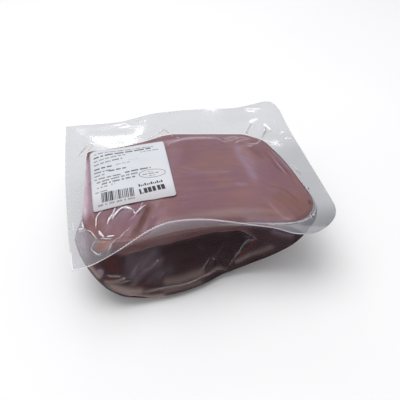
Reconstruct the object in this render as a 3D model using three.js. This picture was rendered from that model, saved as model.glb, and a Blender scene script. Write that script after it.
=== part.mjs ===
// A raw turkey breast in a clear vacuum pack. The breast hangs in a deep-drawn film, a second film lies over
// its crown, and the two are welded to a wide rim round it. A white weight label lies on the upper film.
// Millimetres. +X runs along the pack's long side to its rounded end, +Y to its back, +Z up.
// The origin is on the surface that the pack rests on, under the middle of the rim.
import * as THREE from "three";

// The welded rim, measured flat. Its left corners are cut square and its right ones are round. Its length is
// that of the front and back edges, and the left edge bows out a little past them.
const RIM_LENGTH = 232;
const RIM_WIDTH = 216;
const RIM_CORNER_RADIUS = { front: 32, back: 39 };
const LEFT_EDGE_BOW = 2.7;
const RIM_THICKNESS = 0.6;

// Where the rim's free edge rises or sinks, on the front side (-1) or the back side (1), how far that goes on to
// the left and right of its middle, and how far the edge is drawn in there. Round the corners it fades out, over
// the width of the end zone.
const EDGE_CURLS = [
  { side: -1, middle: -30, left: 83, right: 130, rise: 23, drawIn: 13.8 },
  { side: -1, middle: 76, left: 26, right: 32, rise: -4.5, drawIn: 0 },
  { side: 1, middle: -68, left: 55, right: 55, rise: -2.5, drawIn: 0.9 },
  { side: 1, middle: -10, left: 53, right: 53, rise: 3.1, drawIn: 1.1 },
  { side: 1, middle: 95, left: 65, right: 65, rise: -6.5, drawIn: 2.3 },
];
const CURL_END_ZONE = 24;
const CORNER_LIFT = { x: 108, y: 100, reach: 28, rise: 10.5 };
const CURL_SHARPNESS = 1.35;

// The breast, out to the film that clings to it. HEART is the point of the plan that its shape is built round.
// The surface it lies on presses it flat by the floor press, and the ease rounds the flat spot's edge.
const SEAL_HEIGHT = 63;
const HEART = new THREE.Vector2(-14, -26);
const CROWN_HEIGHT = 8;
const CROWN_FLATNESS = 8;
const FLOOR_PRESS = 6.7;
const FLOOR_EASE = 1.5;

// The seal line round the breast, as a polygon whose corners are rounded off.
const SEAL_CORNERS = [
  { x: -107, y: -64, rounding: 18 },
  { x: -80, y: -88.5, rounding: 17.5 },
  { x: 3.5, y: -79, rounding: 41 },
  { x: 87.5, y: -96.5, rounding: 21 },
  { x: 100, y: -71, rounding: 6.5 },
  { x: 98.5, y: -17, rounding: 42 },
  { x: 84.5, y: 32, rounding: 5 },
  { x: 67, y: 49, rounding: 5 },
  { x: -11.5, y: 68, rounding: 12 },
  { x: -54, y: 53.5, rounding: 31 },
  { x: -96.5, y: 55, rounding: 4 },
];

// How far the drawn film bulges out below the seal line on each side, and how far down it is widest, as a
// share of the breast's depth at three quarters of the way from HEART to the seal line. The front bulge fades
// between two X of the seal line, and the left and right ones between two Y.
const BULGE = { left: 9, right: 5.6, front: 40, back: 3 };
const BULGE_FOCUS = 2.6;
const BULGE_EASE = 1.4;
const FRONT_BULGE_FADE = { from: -118, to: 63 };
const SIDE_BULGE_FADE = { from: -55, to: -30 };
const WIDEST_SHARE = { front: 0.82, elsewhere: 0.25 };
const WIDEST_MEASURED_AT = 0.75;
const WALL_SQUARENESS = { front: 1.8, elsewhere: 2.6 };

// The breast is deepest at its front left. Towards the other sides it thins, between two distances from
// the origin.
const THINNING = {
  left: { from: 31, to: 96, loss: 1 },
  right: { from: -4, to: 62, loss: 0.8 },
  back: { from: -44, to: 80, loss: 1 },
};

// The front-left flap of meat: the crease beside it, and how it sinks under the film. Points are X and Y.
const FLAP_CREASE = { points: [[-40, -52], [-48, -64], [-58, -86]], depth: 3, halfWidth: 6 };
const FLAP_SAG = { points: [[-88, -60], [-84, -66]], depth: 5.5, halfWidth: 30 };

// The front wall: the groove between the two lower muscles, and the hollow under the upper one that overhangs.
// Points are X and the height from the seal line.
const LOWER_GROOVE = {
  points: [[52, -2], [39, -11], [27, -24], [15, -36], [8, -46]],
  depth: 4.5,
  halfWidth: 7,
};
const FRONT_HOLLOW = { x: 2, z: -17, halfLength: 46, halfHeight: 10, depth: 7 };

// The label: its flat size, the place of its middle, and its turn in radians.
const LABEL = { width: 75, height: 89, corner: 3, thickness: 0.3, x: -57, y: 0, turn: -0.017 };

// Clear space from the breast to the rim and to the label.
const RIM_GAP = 0.6;
const LABEL_GAP = 0.5;

// How finely the surfaces are divided.
const STATION_SPACING = 9;
const CROWN_RINGS = 10;
const WALL_RINGS = 5;
const UNDER_RINGS = 12;
const RIM_SHARES = [0, 0.15, 0.35, 0.55, 0.78, 1];
const LABEL_STEP = 5;

const { clamp, lerp, smoothstep } = THREE.MathUtils;
const QUARTER_TURN = Math.PI / 2;

// A path round a polygon with its corners rounded off.
function roundedPath(corners) {
  const path = new THREE.Path();
  corners.forEach((corner, i) => {
    const here = new THREE.Vector2(corner.x, corner.y);
    const towards = (other) => new THREE.Vector2().subVectors(other, here).setLength(corner.rounding).add(here);
    const entry = towards(corners.at(i - 1));
    const exit = towards(corners[(i + 1) % corners.length]);
    if (i === 0) {
      path.moveTo(entry.x, entry.y);
    } else {
      path.lineTo(entry.x, entry.y);
    }
    path.quadraticCurveTo(here.x, here.y, exit.x, exit.y);
  });
  path.closePath();
  return path;
}

// The rim's cut outline.
function rimPath() {
  const halfLength = RIM_LENGTH / 2;
  const halfWidth = RIM_WIDTH / 2;
  const { front, back } = RIM_CORNER_RADIUS;
  const path = new THREE.Path();
  path.moveTo(-halfLength, -halfWidth);
  path.lineTo(halfLength - front, -halfWidth);
  path.absarc(halfLength - front, front - halfWidth, front, -QUARTER_TURN, 0, false);
  path.lineTo(halfLength, halfWidth - back);
  path.absarc(halfLength - back, halfWidth - back, back, 0, QUARTER_TURN, false);
  path.lineTo(-halfLength, halfWidth);
  path.quadraticCurveTo(-halfLength - 2 * LEFT_EDGE_BOW, 0, -halfLength, -halfWidth);
  return path;
}

// Points along a path, about as far apart as the spacing, with every corner kept.
function spacedPoints(path, spacing) {
  return path.curves.flatMap((curve) => {
    const length = curve.getLength();
    const steps = Math.max(1, Math.round(length / spacing));
    return length > 0 ? curve.getSpacedPoints(steps).slice(0, -1) : [];
  });
}

// A unit vector of the plan, in a direction from HEART.
function pointing(angle) {
  return new THREE.Vector2(Math.cos(angle), Math.sin(angle));
}

// The direction of a plan point from HEART.
function angleOf(point) {
  return Math.atan2(point.y - HEART.y, point.x - HEART.x);
}

// An outline's distance from HEART, as a function of direction.
function reachFunction(outline) {
  const polar = outline.map((point) => ({ angle: angleOf(point), reach: point.distanceTo(HEART) }));
  polar.sort((a, b) => a.angle - b.angle);
  const first = polar[0];
  const last = polar.at(-1);
  polar.unshift({ angle: last.angle - 2 * Math.PI, reach: last.reach });
  polar.push({ angle: first.angle + 2 * Math.PI, reach: first.reach });
  return (angle) => {
    const next = polar.findIndex((entry) => entry.angle > angle);
    const low = polar[next - 1];
    const high = polar[next];
    return lerp(low.reach, high.reach, (angle - low.angle) / (high.angle - low.angle));
  };
}

const sealReach = reachFunction(spacedPoints(roundedPath(SEAL_CORNERS), 1.5));

// The directions from HEART in which the breast and the rim have points: those of points along the rim's edge.
const STATIONS = spacedPoints(rimPath(), STATION_SPACING).map((edge) => ({ edge, angle: angleOf(edge) }));

// How deep a groove is at a point, given its middle line, its depth and its half width.
function grooveAt(x, y, { points, depth, halfWidth }) {
  let nearest = Infinity;
  for (let i = 0; i + 1 < points.length; i++) {
    const [ax, ay] = points[i];
    const [bx, by] = points[i + 1];
    const along = ((x - ax) * (bx - ax) + (y - ay) * (by - ay)) / ((bx - ax) ** 2 + (by - ay) ** 2);
    const share = clamp(along, 0, 1);
    nearest = Math.min(nearest, Math.hypot(x - lerp(ax, bx, share), y - lerp(ay, by, share)));
  }
  return depth * Math.exp(-((nearest / halfWidth) ** 2));
}

// The height of the breast's upper face over the seal line.
function crownAt(x, y) {
  const share = Math.min(1, Math.hypot(x - HEART.x, y - HEART.y) / sealReach(angleOf({ x, y })));
  const sunk = grooveAt(x, y, FLAP_CREASE) + grooveAt(x, y, FLAP_SAG);
  return CROWN_HEIGHT * (1 - share ** CROWN_FLATNESS) - sunk * smoothstep(1 - share, 0, 0.12);
}

// How deep the breast is under the seal line at a plan point, before the surface it lies on presses it flat.
function depthAt(x, y) {
  const kept = ({ from, to, loss }, distance) => 1 - loss * clamp((distance - from) / (to - from), 0, 1) ** 2;
  const lengthwise = kept(THINNING.left, -x) * kept(THINNING.right, x);
  return (SEAL_HEIGHT + FLOOR_PRESS) * lengthwise * kept(THINNING.back, y);
}

// How far the film bulges out below the seal line, in a direction from HEART.
function bulgeAt(angle) {
  const way = pointing(angle);
  const edge = pointing(angle).multiplyScalar(sealReach(angle)).add(HEART);
  const frontBulge = BULGE.front * (1 - smoothstep(edge.x, FRONT_BULGE_FADE.from, FRONT_BULGE_FADE.to));
  const sideBulge = way.x < 0 ? BULGE.left : BULGE.right;
  const lengthwise = sideBulge * (1 - smoothstep(edge.y, SIDE_BULGE_FADE.from, SIDE_BULGE_FADE.to));
  const crosswise = way.y < 0 ? frontBulge : BULGE.back;
  return Math.abs(way.x) ** BULGE_FOCUS * lengthwise + Math.abs(way.y) ** BULGE_FOCUS * crosswise;
}

// How far the groove and the hollow cut into the front wall, at a height from the seal line.
function frontRelief(x, z) {
  const alongHollow = ((x - FRONT_HOLLOW.x) / FRONT_HOLLOW.halfLength) ** 4;
  const acrossHollow = ((z - FRONT_HOLLOW.z) / FRONT_HOLLOW.halfHeight) ** 2;
  const hollow = FRONT_HOLLOW.depth * Math.exp(-alongHollow - acrossHollow);
  return (grooveAt(x, z, LOWER_GROOVE) + hollow) * smoothstep(-z, 0, 8);
}

// The lesser of two depths, with the corner where they cross rounded off over a span to each side.
function easedMin(first, second, span) {
  const share = clamp(0.5 + (second - first) / (2 * span), 0, 1);
  return lerp(second, first, share) - span * share * (1 - share);
}

// A point of the breast's upper face, at a share of the way from HEART to the seal line.
function crownPoint({ angle }, share) {
  const plan = pointing(angle).multiplyScalar(sealReach(angle) * share).add(HEART);
  return new THREE.Vector3(plan.x, plan.y, SEAL_HEIGHT + crownAt(plan.x, plan.y));
}

// A point of the breast below the seal line. Its way is 0 on the seal line, 1 where the wall is widest, and
// 2 in the middle of the underside.
function lowerPoint({ angle }, way) {
  const front = smoothstep(-Math.sin(angle), -0.3, 0.7);
  const out = pointing(angle);
  const bulge = bulgeAt(angle);
  const widest = sealReach(angle) + bulge;
  const measured = out.clone().multiplyScalar(WIDEST_MEASURED_AT * sealReach(angle)).add(HEART);
  const widestShare = lerp(WIDEST_SHARE.elsewhere, WIDEST_SHARE.front, front);
  const widestDepth = widestShare * depthAt(measured.x, measured.y);
  let radius = sealReach(angle) + bulge * Math.sin(QUARTER_TURN * way) ** BULGE_EASE;
  let depth = widestDepth * way;
  if (way > 1) {
    const power = 2 / lerp(WALL_SQUARENESS.elsewhere, WALL_SQUARENESS.front, front);
    const turn = QUARTER_TURN * (way - 1);
    radius = widest * Math.cos(turn) ** power;
    const plan = out.clone().multiplyScalar(radius).add(HEART);
    depth = lerp(widestDepth, Math.max(widestDepth, depthAt(plan.x, plan.y)), Math.sin(turn) ** power);
  }
  radius -= front * frontRelief(HEART.x + out.x * radius, -depth) * smoothstep(radius, 10, 60);
  const plan = out.multiplyScalar(radius).add(HEART);
  return new THREE.Vector3(plan.x, plan.y, SEAL_HEIGHT - easedMin(depth, SEAL_HEIGHT, FLOOR_EASE));
}

// Triangles between rings of equally many points, each ring joined to the next.
function bandTriangles(ringCount, pointCount, firstPoint = 0, joinsLastToFirst = false) {
  const index = [];
  const at = (ring, i) => firstPoint + (ring % ringCount) * pointCount + (i % pointCount);
  const bands = joinsLastToFirst ? ringCount : ringCount - 1;
  for (let ring = 0; ring < bands; ring++) {
    for (let i = 0; i < pointCount; i++) {
      index.push(at(ring, i), at(ring + 1, i), at(ring + 1, i + 1));
      index.push(at(ring, i), at(ring + 1, i + 1), at(ring, i + 1));
    }
  }
  return index;
}

// The breast with its clinging film: a low crown above the seal line, and the deep body below it.
function breastGeometry() {
  const rings = [];
  for (let i = 1; i <= CROWN_RINGS; i++) {
    const share = Math.sin((QUARTER_TURN * i) / (CROWN_RINGS + 1));
    rings.push(STATIONS.map((station) => crownPoint(station, share)));
  }
  for (let i = 0; i <= WALL_RINGS; i++) {
    rings.push(STATIONS.map((station) => lowerPoint(station, i / WALL_RINGS)));
  }
  for (let i = 1; i < UNDER_RINGS; i++) {
    rings.push(STATIONS.map((station) => lowerPoint(station, 1 + i / UNDER_RINGS)));
  }
  const top = new THREE.Vector3(HEART.x, HEART.y, SEAL_HEIGHT + crownAt(HEART.x, HEART.y));
  const bottom = new THREE.Vector3(HEART.x, HEART.y, 0);
  const points = [top, ...rings.flat(), bottom];
  const count = STATIONS.length;
  const lastRing = points.length - 1 - count;
  const index = bandTriangles(rings.length, count, 1);
  for (let i = 0; i < count; i++) {
    const next = (i + 1) % count;
    index.push(0, 1 + i, 1 + next);
    index.push(points.length - 1, lastRing + next, lastRing + i);
  }
  return new THREE.BufferGeometry().setFromPoints(points).setIndex(index);
}

// How far the rim's free edge rises and is drawn in, at a point of its flat outline.
function edgeCurl(edge) {
  const cornerDistance = Math.hypot(edge.x - CORNER_LIFT.x, edge.y - CORNER_LIFT.y);
  const curl = { rise: CORNER_LIFT.rise * Math.exp(-((cornerDistance / CORNER_LIFT.reach) ** 2)), drawIn: 0 };
  for (const { side, middle, left, right, rise, drawIn } of EDGE_CURLS) {
    const off = Math.min(1, Math.abs(edge.x - middle) / (edge.x < middle ? left : right));
    const onSide = smoothstep(side * edge.y, RIM_WIDTH / 2 - CURL_END_ZONE, RIM_WIDTH / 2);
    const share = onSide * Math.cos(QUARTER_TURN * off) ** 2;
    curl.rise += rise * share;
    curl.drawIn += drawIn * share;
  }
  return curl;
}

// A point of the rim's middle surface, at a share of the way from the seal line to the free edge.
function rimPoint({ edge, angle }, share) {
  const { rise, drawIn } = edgeCurl(edge);
  const inner = pointing(angle).multiplyScalar(sealReach(angle) + RIM_GAP).add(HEART);
  const outer = new THREE.Vector2(edge.x, edge.y - Math.sign(edge.y) * drawIn);
  const plan = inner.lerp(outer, share);
  return new THREE.Vector3(plan.x, plan.y, SEAL_HEIGHT + rise * share ** CURL_SHARPNESS);
}

// The rim's upward direction across its sheet, at the same point.
function rimNormal(station, share) {
  const ahead = rimPoint(station, Math.min(1, share + 0.02));
  const along = ahead.sub(rimPoint(station, Math.max(0, share - 0.02)));
  const level = Math.hypot(along.x, along.y);
  return new THREE.Vector3((-along.x * along.z) / level, (-along.y * along.z) / level, level).normalize();
}

// The rim, a ring of sheet: out over its upper face to the free edge, and back over its lower face.
function rimGeometry() {
  const half = RIM_THICKNESS / 2;
  const loops = [
    ...RIM_SHARES.map((share) => ({ share, lift: half })),
    ...RIM_SHARES.toReversed().map((share) => ({ share, lift: -half })),
  ];
  const points = loops.flatMap(({ share, lift }) =>
    STATIONS.map((station) => rimPoint(station, share).addScaledVector(rimNormal(station, share), lift)),
  );
  const index = bandTriangles(loops.length, STATIONS.length, 0, true);
  return new THREE.BufferGeometry().setFromPoints(points).setIndex(index);
}

// A point of the label, at shares of its half width and half height from its middle.
function labelPoint(u, v, lift) {
  // A corner is rounded by pulling its one point in.
  const isCorner = Math.abs(u) === 1 && Math.abs(v) === 1;
  const inset = isCorner ? LABEL.corner * (1 - Math.SQRT1_2) : 0;
  const flat = new THREE.Vector2(u * (LABEL.width / 2 - inset), v * (LABEL.height / 2 - inset));
  const plan = flat.rotateAround(new THREE.Vector2(), LABEL.turn).add(new THREE.Vector2(LABEL.x, LABEL.y));
  return new THREE.Vector3(plan.x, plan.y, SEAL_HEIGHT + crownAt(plan.x, plan.y) + lift);
}

// The label, a sheet that lies on the crown: a grid of points on each face, joined round the edge.
function labelGeometry() {
  const columns = Math.round(LABEL.width / LABEL_STEP);
  const rows = Math.round(LABEL.height / LABEL_STEP);
  const across = columns + 1;
  const faceSize = across * (rows + 1);
  const points = [];
  for (const lift of [LABEL_GAP + LABEL.thickness, LABEL_GAP]) {
    for (let i = 0; i < faceSize; i++) {
      const column = i % across;
      const row = Math.floor(i / across);
      points.push(labelPoint((2 * column) / columns - 1, (2 * row) / rows - 1, lift));
    }
  }
  const index = [];
  const addQuad = (a, b, c, d) => index.push(a, b, c, a, c, d);
  for (let row = 0; row < rows; row++) {
    for (let column = 0; column < columns; column++) {
      const a = row * across + column;
      addQuad(a, a + 1, a + across + 1, a + across);
      addQuad(faceSize + a, faceSize + a + across, faceSize + a + across + 1, faceSize + a + 1);
    }
  }
  const edge = [];
  for (let column = 0; column < columns; column++) edge.push(column);
  for (let row = 0; row < rows; row++) edge.push(row * across + columns);
  for (let column = columns; column > 0; column--) edge.push(rows * across + column);
  for (let row = rows; row > 0; row--) edge.push(row * across);
  edge.forEach((here, i) => {
    const next = edge[(i + 1) % edge.length];
    addQuad(here, faceSize + here, faceSize + next, next);
  });
  return new THREE.BufferGeometry().setFromPoints(points).setIndex(index);
}

function piece(name, geometry, color, roughness) {
  const mesh = new THREE.Mesh(geometry, new THREE.MeshStandardMaterial({ color, roughness, metalness: 0 }));
  mesh.name = name;
  return mesh;
}

const pack = new THREE.Group();
pack.add(piece("breast", breastGeometry(), 0x8c6a6e, 0.3));
pack.add(piece("film_rim", rimGeometry(), 0xd8d8dc, 0.15));
pack.add(piece("label", labelGeometry(), 0xeef0f2, 0.5));

// The bowed edge would put the pack's middle to the left of the origin.
pack.position.x = LEFT_EDGE_BOW / 2;

export default pack;
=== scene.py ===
"""A raw turkey breast in a clear vacuum pack: meat, clinging film, welded rim and weight label.

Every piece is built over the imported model, in its frame: +X runs along the pack's long side to its round
corners, +Y to its back and +Z up, from the surface that the pack lies on. Lengths are millimetres here, and
they become metres when a mesh is made.
"""

import logging
import math
from dataclasses import dataclass, field
from enum import Enum

import bpy
import numpy as np
from mathutils import Matrix, Vector
from mathutils.bvhtree import BVHTree


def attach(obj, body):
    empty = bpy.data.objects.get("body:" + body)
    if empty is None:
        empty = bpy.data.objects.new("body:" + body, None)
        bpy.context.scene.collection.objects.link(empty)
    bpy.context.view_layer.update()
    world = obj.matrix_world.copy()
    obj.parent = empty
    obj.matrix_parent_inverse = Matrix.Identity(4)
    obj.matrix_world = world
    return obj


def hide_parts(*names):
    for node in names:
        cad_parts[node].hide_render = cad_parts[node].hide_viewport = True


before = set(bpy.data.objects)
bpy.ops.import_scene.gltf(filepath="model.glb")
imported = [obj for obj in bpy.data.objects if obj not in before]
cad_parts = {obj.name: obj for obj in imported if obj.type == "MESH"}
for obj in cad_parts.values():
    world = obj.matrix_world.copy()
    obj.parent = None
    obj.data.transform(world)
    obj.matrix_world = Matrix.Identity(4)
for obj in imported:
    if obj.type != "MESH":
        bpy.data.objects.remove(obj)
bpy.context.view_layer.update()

MM = 0.001
SEED = 11
SEAL_HEIGHT = 63.0
HEART = np.array((-14.0, -26.0))
LEFT_EDGE_BOW = 2.7
PACK_PLACE = Vector((LEFT_EDGE_BOW / 2, 0, 0))

Pair = tuple[float, float]
Line = tuple[Pair, ...]
Triple = tuple[float, float, float]
Colour = tuple[float, float, float, float]
Piece = bpy.types.Object
Material = bpy.types.Material
Node = bpy.types.Node
Tree = bpy.types.NodeTree
Socket = bpy.types.NodeSocket

log = logging.getLogger("turkey_breast")


def linear(red: int, green: int, blue: int) -> Colour:
    """Turns a colour as a screen shows it into the renderer's linear numbers.

    Args:
        red: Red, from 0 to 255.
        green: Green, from 0 to 255.
        blue: Blue, from 0 to 255.

    Returns:
        The same colour, linear, with full alpha.
    """
    shares = [value / 255 for value in (red, green, blue)]
    bent = [share / 12.92 if share <= 0.04045 else ((share + 0.055) / 1.055) ** 2.4 for share in shares]
    return (bent[0], bent[1], bent[2], 1.0)


def ease(value: np.ndarray, low: float, high: float) -> np.ndarray:
    """Rises smoothly from 0 at the low value to 1 at the high one."""
    share = np.clip((value - low) / (high - low), 0, 1)
    return share * share * (3 - 2 * share)


def bell(value: np.ndarray, half_width: float) -> np.ndarray:
    """A smooth bump: 1 at 0, and about a third of that at the half width."""
    return np.exp(-((value / half_width) ** 2))


def window(value: np.ndarray, rise: Pair, fall: Pair) -> np.ndarray:
    """Rises smoothly from 0 to 1 over one span and falls back to 0 over another."""
    return ease(value, *rise) * ease(-value, -fall[1], -fall[0])


def pointing(angle: np.ndarray) -> np.ndarray:
    """Unit vectors of the plan in directions from HEART, one row for each angle."""
    return np.stack([np.cos(angle), np.sin(angle)], axis=-1)


def bearing(plan: np.ndarray) -> np.ndarray:
    """Directions of plan points from HEART, as angles."""
    return np.arctan2(plan[:, 1] - HEART[1], plan[:, 0] - HEART[0])


def evenly(path: np.ndarray, spacing: float, closed: bool = False) -> np.ndarray:
    """Spreads points evenly along a path.

    Args:
        path: The path's points, one a row.
        spacing: About how far apart the new points are.
        closed: Whether the path ends where it starts, so that its last point is left off.

    Returns:
        The new points, one a row.
    """
    steps = np.linalg.norm(np.diff(path, axis=0), axis=1)
    along = np.concatenate([[0], np.cumsum(steps)])
    count = max(2, round(along[-1] / spacing) + 1)
    at = np.linspace(0, along[-1], count)
    if closed:
        at = at[:-1]
    return np.stack([np.interp(at, along, path[:, axis]) for axis in range(path.shape[1])], axis=1)


def smooth_path(points: Line, steps: int = 6) -> np.ndarray:
    """Draws a smooth curve through a few points of a plane.

    Args:
        points: The points that the curve passes through.
        steps: How many stretches the curve has between two of them.

    Returns:
        The curve's points, one a row.
    """
    knots = np.array(points, float)
    if len(knots) < 3:
        return knots
    padded = np.vstack([2 * knots[0] - knots[1], knots, 2 * knots[-1] - knots[-2]])
    curve = []
    for a, b, c, d in zip(padded, padded[1:], padded[2:], padded[3:]):
        for t in np.arange(steps) / steps:
            bend = (2 * a - 5 * b + 4 * c - d) * t**2 + (3 * b - a - 3 * c + d) * t**3
            curve.append(b + 0.5 * ((c - a) * t + bend))
    curve.append(knots[-1])
    return np.array(curve)


def near_path(places: np.ndarray, path: np.ndarray) -> tuple[np.ndarray, np.ndarray, np.ndarray]:
    """Measures places of a plane against a path.

    Args:
        places: The places, one a row.
        path: The path's points, one a row.

    Returns:
        The distance of each place, its share of the way along the path, and its distance to the path's left,
        which is negative on the right.
    """
    nearest = np.full(len(places), np.inf)
    along = np.zeros(len(places))
    side = np.zeros(len(places))
    lengths = np.linalg.norm(np.diff(path, axis=0), axis=1)
    total = lengths.sum()
    start = 0.0
    for a, b, length in zip(path, path[1:], lengths):
        way = (b - a) / max(length, 1e-9)
        offset = places - a
        reach = np.clip(offset @ way, 0, length)
        gap = offset - reach[:, None] * way
        distance = np.hypot(*gap.T)
        closer = distance < nearest
        nearest[closer] = distance[closer]
        along[closer] = (start + reach[closer]) / total
        side[closer] = (way[0] * offset[:, 1] - way[1] * offset[:, 0])[closer]
        start += length
    return nearest, along, side


class Ripples:
    """A smooth field without a pattern, made of many waves in seeded directions."""

    def __init__(self, seed: int, wavelengths: Pair, stretch: Pair = (1.0, 1.0), count: int = 26) -> None:
        """Draws the waves.

        Args:
            seed: The seed of the draw.
            wavelengths: The shortest and the longest wavelength.
            stretch: How much longer than that the waves are along the first axis and the second.
            count: How many waves there are.
        """
        draw = np.random.default_rng(seed)
        turns = draw.uniform(0, math.tau, count)
        lengths = draw.uniform(*wavelengths, count)
        self.waves = np.stack([np.cos(turns) / stretch[0], np.sin(turns) / stretch[1]]) * math.tau / lengths
        self.phases = draw.uniform(0, math.tau, count)
        self.scale = math.sqrt(2 / count)

    def at(self, places: np.ndarray) -> np.ndarray:
        """The field at places of a plane, mostly from -1 to 1."""
        return np.sin(places @ self.waves + self.phases).sum(axis=1) * self.scale


@dataclass(frozen=True)
class Groove:
    """A rounded groove along a line of points."""

    points: Line
    depth: float
    half_width: float

    def depth_at(self, places: np.ndarray) -> np.ndarray:
        """How deep the groove is at places of its plane."""
        distance, _, _ = near_path(places, np.array(self.points))
        return self.depth * bell(distance, self.half_width)


@dataclass(frozen=True)
class SealLine:
    """The line round the breast where the two films meet: a polygon with rounded corners."""

    corners: tuple[Triple, ...] = (
        (-107, -64, 18), (-80, -88.5, 17.5), (3.5, -79, 41), (87.5, -96.5, 21), (100, -71, 6.5),
        (98.5, -17, 42), (84.5, 32, 5), (67, 49, 5), (-11.5, 68, 12), (-54, 53.5, 31), (-96.5, 55, 4),
    )

    def outline(self, spacing: float = 1.5) -> np.ndarray:
        """Points round the line, one a row, the first one not repeated."""
        knots = np.array(self.corners, float)[:, :2]
        arcs = []
        for i, (_, _, rounding) in enumerate(self.corners):
            here = knots[i]
            before = knots[i - 1] - here
            after = knots[(i + 1) % len(knots)] - here
            entry = here + before / np.linalg.norm(before) * rounding
            leave = here + after / np.linalg.norm(after) * rounding
            t = np.linspace(0, 1, 24)[:, None]
            arcs.append((1 - t) ** 2 * entry + 2 * t * (1 - t) * here + t**2 * leave)
        ring = np.vstack([*arcs, arcs[0][:1]])
        return evenly(ring, spacing, closed=True)

    def reach(self, angle: np.ndarray) -> np.ndarray:
        """The line's distance from HEART in the given directions."""
        ring = self.outline()
        return np.interp(angle, bearing(ring), np.hypot(*(ring - HEART).T), period=math.tau)

    def directions(self, count: int, focus: Pair, focus_reach: float, focus_weight: float) -> np.ndarray:
        """Directions from HEART to points round the line, closer together near a focus.

        Args:
            count: How many directions.
            focus: The plan point near which they are closer together.
            focus_reach: How far from it that goes on.
            focus_weight: How many more there are at the focus, as a share.

        Returns:
            The directions as angles, in rising order.
        """
        ring = self.outline(0.5)
        closed = np.vstack([ring, ring[:1]])
        steps = np.linalg.norm(np.diff(closed, axis=0), axis=1)
        away = np.linalg.norm(closed[:-1] - np.array(focus), axis=1)
        weight = steps * (1 + focus_weight * bell(away, focus_reach))
        along = np.concatenate([[0], np.cumsum(weight)])
        at = np.linspace(0, along[-1], count, endpoint=False)
        points = np.stack([np.interp(at, along, closed[:, axis]) for axis in (0, 1)], axis=1)
        return np.sort(bearing(points))


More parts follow.
